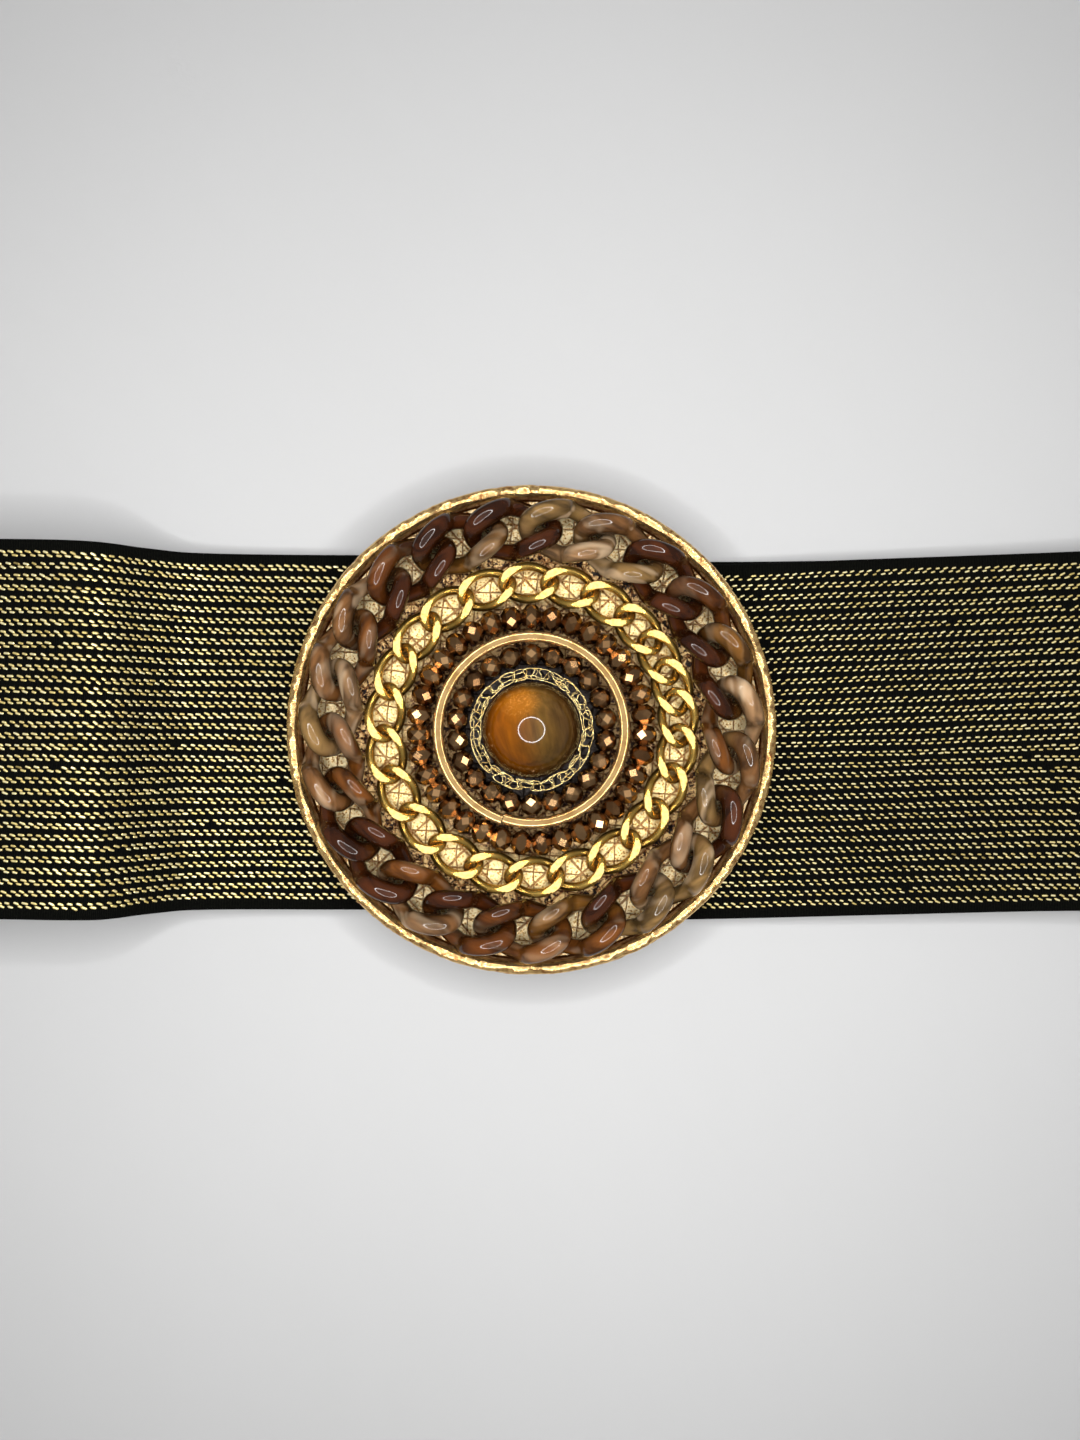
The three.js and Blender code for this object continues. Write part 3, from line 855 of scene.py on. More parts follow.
@dataclass
class StrapRoute:
    """The middle of the strap's thickness, from the left hem's end round to the right hem's end.

    The rows of the tables hold a share of half the belt's length, a share of the climb to the crest
    and a sideways place in millimetres.
    """

    belt_length: float = 320.0
    left_crest: float = 15.7
    right_crest: float = 14.2
    hem_length: float = 7.0
    turn_steps: int = 4
    fold_steps: int = 3
    left_front: tuple[tuple[float, float, float], ...] = (
        (0.22, 0.0, -0.48), (0.3, 0.025, -0.4), (0.344, 0.075, -0.34), (0.37, 0.165, -0.3),
        (0.388, 0.345, -0.26), (0.406, 0.56, -0.22), (0.42, 0.78, -0.18), (0.435, 0.925, -0.12),
        (0.46, 0.995, 0.0), (0.54, 1.0, 0.2), (0.72, 0.99, 0.28), (0.88, 1.0, 0.28),
    )  # fmt: skip
    right_front: tuple[tuple[float, float, float], ...] = (
        (0.22, 0.0, -2.0), (0.36, 0.07, -1.3), (0.55, 0.19, -0.36), (0.64, 0.37, 0.04),
        (0.72, 0.68, 0.4), (0.8, 0.92, 0.7), (0.9, 1.0, 0.96),
    )  # fmt: skip
    back: tuple[tuple[float, float], ...] = (
        (-0.85, 0.28), (-0.5, 0.0), (-0.2, -0.5), (0.0, -0.9), (0.22, -1.4), (0.52, -0.44), (0.86, 0.92),
    )  # fmt: skip

    def hem(self, side: int, bar_x: float, drift: float) -> list[tuple[float, float, float]]:
        """The fold round a bar, read from the strap's end inwards on the left, and back on the right.

        Args:
            side: -1 for the left hem, 1 for the right one.
            bar_x: The middle of the bar.
            drift: The strap's sideways place there.

        Returns:
            The points that fix the fold.
        """
        middle = bar_x - side * (BAR_WIDTH / 2 - HEM_GAP)
        stitched = UPPER_Z + STRAP_THICKNESS + HEM_GAP
        rows = [
            (bar_x + side * self.hem_length, stitched),
            (bar_x + side * (BAR_WIDTH / 2 + 2 * HEM_RADIUS), stitched),
            (bar_x + side * (BAR_WIDTH / 2 + HEM_GAP), BAR_Z + HEM_RADIUS),
        ]
        turns = np.linspace(0, math.pi, self.fold_steps + 1)
        rows += [
            (middle - side * HEM_RADIUS * math.sin(turn), BAR_Z + HEM_RADIUS * math.cos(turn))
            for turn in turns
        ]
        rows.append((bar_x + side * self.hem_length, UPPER_Z))
        return [(x, drift, z) for x, z in (reversed(rows) if side > 0 else rows)]

    def turn(self, side: int, crest: float, drift: float) -> list[tuple[float, float, float]]:
        """The half circle at one end of the belt.

        Args:
            side: -1 for the left end, 1 for the right end.
            crest: The height of the strap's top before the turn.
            drift: The strap's sideways place there.

        Returns:
            The points that fix the turn.
        """
        radius = (crest - STRAP_THICKNESS) / 2
        middle = side * (self.belt_length / 2 - STRAP_THICKNESS / 2 - radius)
        turns = np.linspace(0, math.pi, self.turn_steps + 1)[:: -side]
        return [
            (middle + side * radius * math.sin(a), drift, LOWER_Z + radius * (1 + math.cos(a))) for a in turns
        ]

    def fixed_points(self) -> np.ndarray:
        """All the points that fix the route, in order.

        Returns:
            An array of points.
        """
        half = self.belt_length / 2

        def front(side: int, rows: tuple, crest: float) -> list[tuple[float, float, float]]:
            """The front layer on one side, read away from the disc on the left and back on the right."""
            climb = crest - STRAP_THICKNESS / 2 - UPPER_Z
            return [
                (side * along * half, drift, UPPER_Z + rise * climb)
                for along, rise, drift in (reversed(rows) if side > 0 else rows)
            ]

        points = self.hem(-1, LEFT_BAR_X, LEFT_HEM_DRIFT)
        points += front(-1, self.left_front, self.left_crest)
        points += self.turn(-1, self.left_crest, self.left_front[-1][2])
        points += [(along * half, drift, LOWER_Z) for along, drift in self.back]
        points += self.turn(1, self.right_crest, self.right_front[-1][2])
        points += front(1, self.right_front, self.right_crest)
        points += self.hem(1, RIGHT_BAR_X, RIGHT_HEM_DRIFT)
        return np.array(points)

    def fine_points(self, steps: int = 60) -> np.ndarray:
        """The route as a centripetal Catmull-Rom curve: a cubic between each two points, with knots
        spaced by the square root of their distance.

        Args:
            steps: How many points are worked out for each span.

        Returns:
            An array of points that follow the curve closely.
        """
        fixed = self.fixed_points()
        padded = np.vstack([2 * fixed[0] - fixed[1], fixed, 2 * fixed[-1] - fixed[-2]])
        knots = np.sqrt(np.linalg.norm(np.diff(padded, axis=0), axis=1))[:, None]
        a, b, c, d = padded[:-3], padded[1:-2], padded[2:-1], padded[3:]
        k0, k1, k2 = knots[:-2], knots[1:-1], knots[2:]
        start = ((b - a) / k0 - (c - a) / (k0 + k1) + (c - b) / k1) * k1
        end = ((c - b) / k1 - (d - b) / (k1 + k2) + (d - c) / k2) * k1
        t = np.linspace(0, 1, steps, endpoint=False)[None, :, None]
        b, c, start, end = (v[:, None, :] for v in (b, c, start, end))
        cubic = b + start * t + (3 * (c - b) - 2 * start - end) * t**2 + (2 * (b - c) + start + end) * t**3
        points = np.vstack([cubic.reshape(-1, 3), fixed[-1]])
        points[:, 2] = np.maximum(points[:, 2], LOWER_Z)
        return points


@dataclass
class StrapFrames:
    """Evenly readable places along the strap.

    Attributes:
        length: The length so far at each fine point.
        points: The middle of the strap there.
        ahead: The direction of travel.
        outer: The direction out of the strap's outer face.
    """

    length: np.ndarray
    points: np.ndarray
    ahead: np.ndarray
    outer: np.ndarray

    @classmethod
    def along(cls, points: np.ndarray) -> "StrapFrames":
        """Works out directions along a row of points.

        Args:
            points: The route.

        Returns:
            The frames.
        """
        length = np.concatenate([[0], np.cumsum(np.linalg.norm(np.diff(points, axis=0), axis=1))])
        flat = np.gradient(points, length, axis=0) * (1, 0, 1)
        ahead = flat / np.linalg.norm(flat, axis=1, keepdims=True)
        outer = np.stack([ahead[:, 2], np.zeros(len(ahead)), -ahead[:, 0]], axis=1)
        return cls(length, points, ahead, outer)

    def at(self, places: np.ndarray) -> tuple[np.ndarray, np.ndarray, np.ndarray]:
        """Reads the strap at given lengths.

        Args:
            places: Lengths from the strap's start.

        Returns:
            The points, the directions of travel and the outward directions.
        """
        read = [
            np.stack([np.interp(places, self.length, column) for column in table.T], axis=-1)
            for table in (self.points, self.ahead, self.outer)
        ]
        unit = [v / np.linalg.norm(v, axis=-1, keepdims=True) for v in read[1:]]
        return read[0], unit[0], unit[1]

    def spaced(self, step: float, bend_step: float) -> np.ndarray:
        """Lengths that are closer together where the strap bends.

        Args:
            step: The widest spacing, where it is straight.
            bend_step: The angle in radians that one step may turn.

        Returns:
            Lengths from the start to the end.
        """
        angle = np.unwrap(np.arctan2(self.ahead[:, 2], self.ahead[:, 0]))
        work = np.diff(self.length) / step + np.abs(np.diff(angle)) / bend_step
        total = np.concatenate([[0], np.cumsum(work)])
        return np.interp(np.linspace(0, total[-1], int(total[-1]) + 2), total, self.length)


@dataclass
class ElasticStrap:
    """The ribbed black webbing and the gold yarn that floats on its ribs. The selvedge is how far the
    round edges reach in, proud and tip_dip are how high a float's middle and how low its tips lie, each
    jitter is the spread of a normal draw, and missing is the share of floats that are worn away."""

    width: float = 60.6
    selvedge: float = 0.5
    ribs: int = 32
    rib_pitch: float = 1.8
    rib_relief: float = 0.1
    samples_per_rib: int = 4
    rows_per_rib: int = 2
    row_pitch: float = 0.6
    float_pitch: float = 1.41
    float_length: float = 1.3
    float_width: float = 0.39
    float_height: float = 0.15
    stagger: float = 0.5
    slant_degrees: float = 19.0
    place_jitter: float = 0.07
    across_jitter: float = 0.03
    lean_jitter_degrees: float = 6.0
    missing: float = 0.004
    proud: float = 0.03
    tip_dip: float = 0.1
    yarn_pieces: int = 4
    seed: int = 7
    frames: StrapFrames = field(default_factory=lambda: StrapFrames.along(StrapRoute().fine_points()))

    def relief(self, across: np.ndarray) -> np.ndarray:
        """The ribs' height: the cosine of the place within a rib, faded out on the selvedges.

        Args:
            across: Places across the strap, from its middle.

        Returns:
            Heights over the strap's mean surface.
        """
        ribbed = self.ribs * self.rib_pitch / 2
        inside = np.clip((ribbed - np.abs(across)) / 0.4 + 0.5, 0, 1)
        wave = np.cos(2 * np.pi * across / self.rib_pitch)
        return self.rib_relief * (wave * inside + 0.3 * (1 - inside))

    def webbing_shape(self) -> Shape:
        """A closed section carried along the route: the outer face, a round edge, the inner face and
        the other round edge, with ribs on both faces.

        Returns:
            The shape of the webbing.
        """
        half, thick = self.width / 2, STRAP_THICKNESS / 2 - self.rib_relief
        count = int(round(self.width / self.rib_pitch * self.samples_per_rib))
        inset = self.selvedge
        across = np.linspace(half - inset, inset - half, count)
        turn = np.linspace(0, np.pi, 6)[1:-1]
        edge = np.stack([half - inset + inset * np.sin(turn), thick * np.cos(turn)], axis=1)
        face = np.stack([across, thick + self.relief(across)], axis=1)
        section = np.vstack([face, edge * (-1, 1), (face * (1, -1))[::-1], edge[::-1]])
        places = self.frames.spaced(3.0, math.radians(12))
        middle, _, outer = self.frames.at(places)
        points = middle[:, None, :] + section[None, :, :1] * ACROSS + section[None, :, 1:] * outer[:, None, :]
        rows, columns = points.shape[:2]
        uv = np.stack(np.broadcast_arrays(places[:, None], section[None, :, 0]), axis=-1) * MM
        ends = [np.arange(columns)[None, :], (np.arange(columns) + (rows - 1) * columns)[None, ::-1]]
        faces = [grid_faces(rows, columns, close_rows=False), *ends]
        return Shape(points.reshape(-1, 3), faces, uv.reshape(-1, 2))

    def slant(self, points: np.ndarray) -> np.ndarray:
        """How far each float leans: down to the right on the left half and low on the right half, and up
        to the right high on the right half.

        Args:
            points: Where the floats lie.

        Returns:
            Angles in radians.
        """
        right = np.clip((points[:, 0] - 10) / 20, 0, 1)
        upper = np.tanh((points[:, 1] + 4) / 5)
        return math.radians(self.slant_degrees) * (1 - right - right * upper)

    def float_shapes(self) -> list[Shape]:
        """Every float of gold yarn. Its row wanders across in a long and a short wave, and its place,
        length and brightness are drawn by chance.

        Returns:
            One shape for each group of ribs.
        """
        random = np.random.default_rng(self.seed)
        usable = self.frames.length[-1] - 2
        per_row = int(usable / self.float_pitch)
        rib = (np.arange(self.ribs) - (self.ribs - 1) / 2) * self.rib_pitch
        row = (np.arange(self.rows_per_rib) - (self.rows_per_rib - 1) / 2) * self.row_pitch
        phase = random.uniform(0, self.float_pitch, self.ribs)[:, None, None]
        step = np.arange(per_row)[None, None, :] * self.float_pitch
        offset = self.stagger * self.float_pitch * np.arange(self.rows_per_rib)[None, :, None]
        place = 1 + phase + step + offset
        shape = place.shape
        place = place + random.normal(0, self.place_jitter, shape)
        wander = 0.07 * np.sin(place / 8 + phase * 9) + 0.04 * np.sin(place / 3 + phase * 21)
        wander = wander + random.normal(0, self.across_jitter, shape)
        across = rib[:, None, None] + row[None, :, None] + wander
        size = random.uniform(0.8, 1.12, shape)
        tone = np.clip(random.normal(0.85, 0.2, shape), 0.2, 1.1)
        kept = (random.random(shape) > self.missing) & (place < usable)
        groups = np.arange(self.ribs) * self.yarn_pieces // self.ribs
        shapes = []
        for group in range(self.yarn_pieces):
            chosen = kept & (groups == group)[:, None, None]
            shapes.append(self.spindles(place[chosen], across[chosen], size[chosen], tone[chosen], random))
        return shapes

    def spindles(
        self,
        place: np.ndarray,
        across: np.ndarray,
        size: np.ndarray,
        tone: np.ndarray,
        random: np.random.Generator,
    ) -> Shape:
        """Makes the floats at given places: spindles with four sides, two rings and two dipped tips.
        They are thinner from 20 to 60 mm right of the disc's middle and fuller again past that.

        Args:
            place: Lengths along the strap.
            across: Places across it.
            size: Each float's length as a share of the usual one.
            tone: How bright each float is, from 0 to 1.
            random: The source of small changes in lean.

        Returns:
            All the floats as one shape.
        """
        middle, ahead, outer = self.frames.at(place)
        centre = middle + across[:, None] * ACROSS
        lean = self.slant(centre) + random.normal(0, math.radians(self.lean_jitter_degrees), len(place))
        lift = STRAP_THICKNESS / 2 - self.rib_relief + self.relief(across) + self.proud
        centre = centre + lift[:, None] * outer
        along = np.cos(lean)[:, None] * ahead + np.sin(lean)[:, None] * ACROSS
        aside = np.cos(lean)[:, None] * ACROSS - np.sin(lean)[:, None] * ahead
        x = centre[:, :1]
        thin = 1 - 0.24 * np.clip((x - 20) / 20, 0, 1) + 0.14 * np.clip((x - 60) / 30, 0, 1)
        half = size[:, None] * self.float_length / 2 * (0.4 + 0.6 * thin)
        wide, high = thin * self.float_width / 2, thin * self.float_height / 2
        tips = [centre + sign * half * along - self.tip_dip * outer for sign in (-1, 1)]
        rings = [
            centre + sign * 0.52 * half * along + across_by * wide * aside + up * high * outer
            for sign in (-1, 1)
            for across_by, up in ((1, 0.15), (0, 1), (-1, 0.15), (0, -0.8))
        ]
        points = np.stack([tips[0], *rings, tips[1]], axis=1)
        j = np.arange(4)
        k = (j + 1) % 4
        first = np.stack([np.zeros(4, int), 1 + j, 1 + k], axis=1)
        last = np.stack([np.full(4, 9), 5 + k, 5 + j], axis=1)
        sides = np.stack([1 + j, 5 + j, 5 + k, 1 + k], axis=1)
        base = (np.arange(len(place)) * 10)[:, None, None]
        # Painted highlight and shade: each float's tint is full on its top ridge and dark at its sides,
        # underside and tips.
        crest = np.array([0.1, 0.3, 1.0, 0.3, 0.0, 0.3, 1.0, 0.3, 0.0, 0.1])
        tint = (tone[:, None] * crest).reshape(-1, 1) * np.ones(4)
        faces = [(base + np.vstack([first, last])).reshape(-1, 3), (base + sides).reshape(-1, 4)]
        return Shape(points.reshape(-1, 3), faces, None, tint)

    def build(self, webbing: bpy.types.Material, yarn: bpy.types.Material) -> None:
        """Makes the webbing and its yarn.

        Args:
            webbing: The black ground's material.
            yarn: The gold yarn's material.
        """
        strap = make_object("band_webbing", self.webbing_shape(), [webbing])
        report_piece(strap, "elastic", "elastic_band")
        threads = [
            report_piece(make_object(f"lurex_yarn_{i + 1}", shape, [yarn], smooth=False), "elastic")
            for i, shape in enumerate(self.float_shapes())
        ]


# The cast disc and the hardware behind it


@dataclass
class CastDisc:
    """The plate with its hammered rim, the fixed bar and the hook, all one casting. The hammer moves the
    rim in and down by dent_in and dent_down, lip is the lip's thickness and lip_reach counts the web in."""

    rim_height: float = 3.0
    steps: int = 900
    dents: int = 260
    dent_in: float = 0.1
    dent_down: float = 0.16
    seed: int = 11
    hook_width: float = 20.0
    hook_web: float = 1.1
    lip: float = 1.3
    lip_reach: float = 6.2
    rounding: float = 0.18

    def profile(self) -> np.ndarray:
        """The turned section from the middle of the back, round the rim, to the middle of the floor.

        Returns:
            Rows of radius, height and how far the hammer reaches there.
        """
        inner, outer, top = RIM_INNER_RADIUS, DISC_RADIUS + 0.15, FLOOR_Z + self.rim_height
        rows = [
            (0.5, BACK_Z, 0), (20, BACK_Z, 0), (38.6, BACK_Z, 0),
            (39.3, BACK_Z + 0.08, 0.05), (39.75, BACK_Z + 0.3, 0.1), (outer, BACK_Z + 0.7, 0.15),
            (outer, BACK_Z + 1.3, 0.2), (outer - 0.03, BACK_Z + 2.4, 0.3), (outer - 0.1, top - 0.75, 0.6),
            (outer - 0.22, top - 0.38, 0.9), (outer - 0.45, top - 0.14, 1), (outer - 0.8, top - 0.03, 1),
            (inner + 0.95, top, 1), (inner + 0.6, top - 0.12, 1), (inner + 0.35, top - 0.5, 0.9),
            (inner + 0.15, top - 1.2, 0.7), (inner + 0.02, top - 2.0, 0.4), (inner, FLOOR_Z + 0.3, 0),
            (inner - 0.25, FLOOR_Z, 0), (30, FLOOR_Z, 0), (20, FLOOR_Z, 0),
            (10, FLOOR_Z, 0), (0.5, FLOOR_Z, 0),
        ]  # fmt: skip
        return np.array(rows)

    def hammer(self, angle: np.ndarray, place: int) -> np.ndarray:
        """Uneven flat dents round the rim: random depths at random angles, joined by straight slopes.

        Args:
            angle: Angles in radians.
            place: Which row of the section is meant, so that rows differ a little.

        Returns:
            Depths from -1 to 1.
        """
        random = np.random.default_rng(self.seed + place // 3)
        at = np.sort(random.uniform(0, 2 * np.pi, self.dents))
        depth = random.uniform(-1, 1, self.dents)
        return np.interp(angle, at, depth, period=2 * np.pi)

    def shape(self) -> Shape:
        """The section turned round the middle and moved in and down by the hammer.

        Returns:
            The shape of the plate and rim.
        """
        profile = self.profile()
        angle = np.linspace(0, 2 * np.pi, self.steps, endpoint=False)
        dent = np.stack([self.hammer(angle, place) for place in range(len(profile))], axis=1)
        reach = profile[None, :, 2] * dent
        radius = profile[None, :, 0] + self.dent_in * reach
        height = profile[None, :, 1] + self.dent_down * reach
        points = np.stack([radius * np.sin(angle)[:, None], radius * np.cos(angle)[:, None], height], axis=-1)
        return turned_shape(points, BACK_Z, FLOOR_Z)

    def build(self, cast: bpy.types.Material, scribed: bpy.types.Material) -> None:
        """Makes the disc, with the scribed finish on its floor, and the hardware behind.

        Args:
            cast: The casting's material.
            scribed: The floor's material.
        """
        disc = make_object("cast_disc", self.shape(), [cast, scribed], crease=35)
        x, y, z = face_middles(disc).T
        floor = (np.abs(z - FLOOR_Z) < 0.05) & (np.hypot(x, y) < RIM_INNER_RADIUS)
        disc.data.polygons.foreach_set("material_index", floor.astype(np.int32))
        report_piece(disc, "cast_gold", "disc_base")
        for name, shape in (("fixed_bar", self.bar_shape()), ("back_hook", self.hook_shape())):
            piece = make_object(name, shape, [cast], smooth=False)
            bevel = piece.modifiers.new("rounded edges", "BEVEL")
            bevel.width = self.rounding * MM
            bevel.segments = 2
            bevel.limit_method = "ANGLE"
            report_piece(piece, "cast_gold")

    @staticmethod
    def extruded(outline: np.ndarray, start: float, end: float, order: tuple[int, int, int]) -> Shape:
        """A flat outline drawn out along the third axis.

        Args:
            outline: Corners, two numbers a row, anticlockwise.
            start: Where it starts along the third axis.
            end: Where it ends.
            order: Which of outline x, outline y and depth goes to X, Y and Z.

        Returns:
            The closed shape.
        """
        count = len(outline)
        low = np.column_stack([outline, np.full(count, start)])
        high = np.column_stack([outline, np.full(count, end)])
        points = np.vstack([low, high])[:, list(order)]
        i = np.arange(count)
        j = (i + 1) % count
        sides = np.stack([i, j, j + count, i + count], axis=1)
        return Shape(points, [sides, i[None, ::-1], (i + count)[None, :]])

    def bar_shape(self) -> Shape:
        """The staple that holds the left hem: a bar across the back with a post at each end.

        Returns:
            The shape, its posts sunk into the plate.
        """
        inside, low, high = BAR_HALF_LENGTH, BAR_Z - BAR_THICKNESS / 2, BAR_Z + BAR_THICKNESS / 2
        outside, top = inside + BAR_WIDTH, BACK_Z + PLATE_THICKNESS / 2
        half = [(outside, low), (outside, top), (inside, top), (inside, high)]
        outline = np.array(half + [(-y, z) for y, z in reversed(half)])
        outline[:, 0] += LEFT_HEM_DRIFT
        start = LEFT_BAR_X - BAR_WIDTH / 2
        return self.extruded(outline, start, start + BAR_WIDTH, (2, 0, 1))

    def hook_shape(self) -> Shape:
        """The hook that holds the clasp loop: a web down from the plate, a lip and its low tip.

        Returns:
            The shape, its web sunk into the plate.
        """
        web_left = CAUGHT_BAR_X + BAR_WIDTH / 2 + CLEARANCE
        web_right = web_left + self.hook_web
        lip_top = BAR_Z - BAR_THICKNESS / 2 - CLEARANCE
        lip_bottom, tip, top = lip_top - self.lip, web_right - self.lip_reach, BACK_Z + PLATE_THICKNESS / 2
        outline = [
            (web_right, lip_bottom),
            (web_right, top),
            (web_left, top),
            (web_left, lip_top),
            (tip + 1.0, lip_top),
            (tip + 0.5, lip_top + 0.5),
            (tip, lip_top),
            (tip, lip_bottom),
        ]
        start = RIGHT_HEM_DRIFT - self.hook_width / 2
        shape = self.extruded(np.array(outline), start, RIGHT_HEM_DRIFT + self.hook_width / 2, (0, 2, 1))
        return Shape(shape.points, [f[:, ::-1] for f in shape.faces])


@dataclass
class ClaspLoop:
    """The plain wire loop in the right hem, caught in the hook."""

    corner: float = 1.2
    sides: int = 12
    square: float = 0.6

    def shape(self) -> Shape:
        """A rounded rectangle as the path and an oval as the section.

        Returns:
            The shape of the loop.
        """
        left, right, half = CAUGHT_BAR_X, RIGHT_BAR_X, BAR_HALF_LENGTH + BAR_WIDTH / 2
        corners = [(right, half, 0), (left, half, 90), (left, -half, 180), (right, -half, 270)]
        path, normals = [], []
        for x, y, start in corners:
            turn = np.radians(np.linspace(start, start + 90, 7))
            inward = np.radians(start + 45)
            back = self.corner * math.sqrt(2) * np.array([math.cos(inward), math.sin(inward)])
            centre = np.array([x, y]) - back
            out = np.stack([np.cos(turn), np.sin(turn)], axis=1)
            path.append(centre + self.corner * out)
            normals.append(out)
        path, normals = np.vstack(path), np.vstack(normals)
        around = np.linspace(0, 2 * np.pi, self.sides, endpoint=False)
        out = flattened(np.cos(around), self.square) * BAR_WIDTH / 2
        up = flattened(np.sin(around), self.square) * BAR_THICKNESS / 2
        level = path[:, None, :] + normals[:, None, :] * out[None, :, None]
        height = np.broadcast_to(BAR_Z + up[None, :, None], level.shape[:2] + (1,))
        points = np.concatenate([level, height], axis=-1) + (0, RIGHT_HEM_DRIFT, 0)
        return Shape(points.reshape(-1, 3), [grid_faces(len(path), self.sides)])

    def build(self, metal: bpy.types.Material) -> None:
        """Makes the loop.

        Args:
            metal: Its material.
        """
        loop = make_object("clasp_wire_loop", self.shape(), [metal], crease=50)
        report_piece(loop, "cast_gold", "clasp_loop")


# The chains


@dataclass
class CurbLink:
    """A curb link bent round the disc.

    Attributes:
        radius: The radius of the chain's line.
        length: The link's length along its wire's middle.
        width: The link's width along its wire's middle.
        wire: The wire's width.
        thickness: The wire's thickness.
        twist: How far in degrees the ends turn out of the link's plane.
        steps: Sections round the link.
        sides: Points round the wire.
        swell: How much wider the raised parts are, as a share of the wire.
        fullness: The power of the sine across. Under 1 it makes the arms straighter.
        level: The power of the cosine in the twist. Under 1 it makes the raised parts flatter.
        ground: The height over the link's middle at which its top is cut flat.
    """

    radius: float
    length: float
    width: float
    wire: float
    thickness: float
    twist: float
    steps: int
    sides: int
    swell: float = 0.0
    fullness: float = 1.0
    level: float = 1.0
    ground: float = math.inf

    def shape(self, degrees: float, height: float) -> Shape:
        """The wire's middle is an oval: length times the cosine along, width times the sine across. The
        oval turns about the chain's line by the twist times the cosine, so that the outer arc stands
        high at the end that points back, and the inner arc at the end that points on.

        Args:
            degrees: The clock angle of the link's middle.
            height: The height of the link's middle.

        Returns:
            The shape of the link.
        """
        u = np.linspace(0, 2 * np.pi, self.steps, endpoint=False)[:, None]
        v = np.linspace(0, 2 * np.pi, self.sides, endpoint=False)[None, :]
        middle_t = self.length / 2 * np.cos(u)
        middle_w = self.width / 2 * flattened(np.sin(u), self.fullness)
        tangent = np.stack([np.roll(m, -1, 0) - np.roll(m, 1, 0) for m in (middle_t, middle_w)])
        tangent = tangent / np.linalg.norm(tangent, axis=0)
        swell = 1 - self.swell * np.sin(2 * u)
        aside = swell * self.wire / 2 * np.cos(v)
        over = swell * self.thickness / 2 * np.sin(v)
        t = middle_t + aside * tangent[1]
        w = middle_w - aside * tangent[0]
        tilt = -math.radians(self.twist) * flattened(np.cos(u), self.level)
        out = w * np.cos(tilt) - over * np.sin(tilt)
        up = np.minimum(w * np.sin(tilt) + over * np.cos(tilt), self.ground)
        turned = degrees + np.degrees(t / self.radius)
        points = polar(turned, self.radius + out, height + up)
        return Shape(points.reshape(-1, 3), [grid_faces(self.steps, self.sides)])

    def resting_height(self) -> float:
        """Lays a link on the plate.

        Returns:
            The height of its middle when its lowest point rests there.
        """
        return REST_Z - self.shape(0, 0).points[:, 2].min()


class Tint(Enum):
    """The colours that the marbled acrylic shows, with how milky each is."""

    DARK = ("4A240E", 0.0)
    CHESTNUT = ("603412", 0.08)
    BROWN = ("724219", 0.2)
    GREY_BROWN = ("7C5430", 0.4)
    OLIVE = ("764E20", 0.28)
    KHAKI = ("8A6A3E", 0.5)
    MILKY = ("A07A54", 0.65)


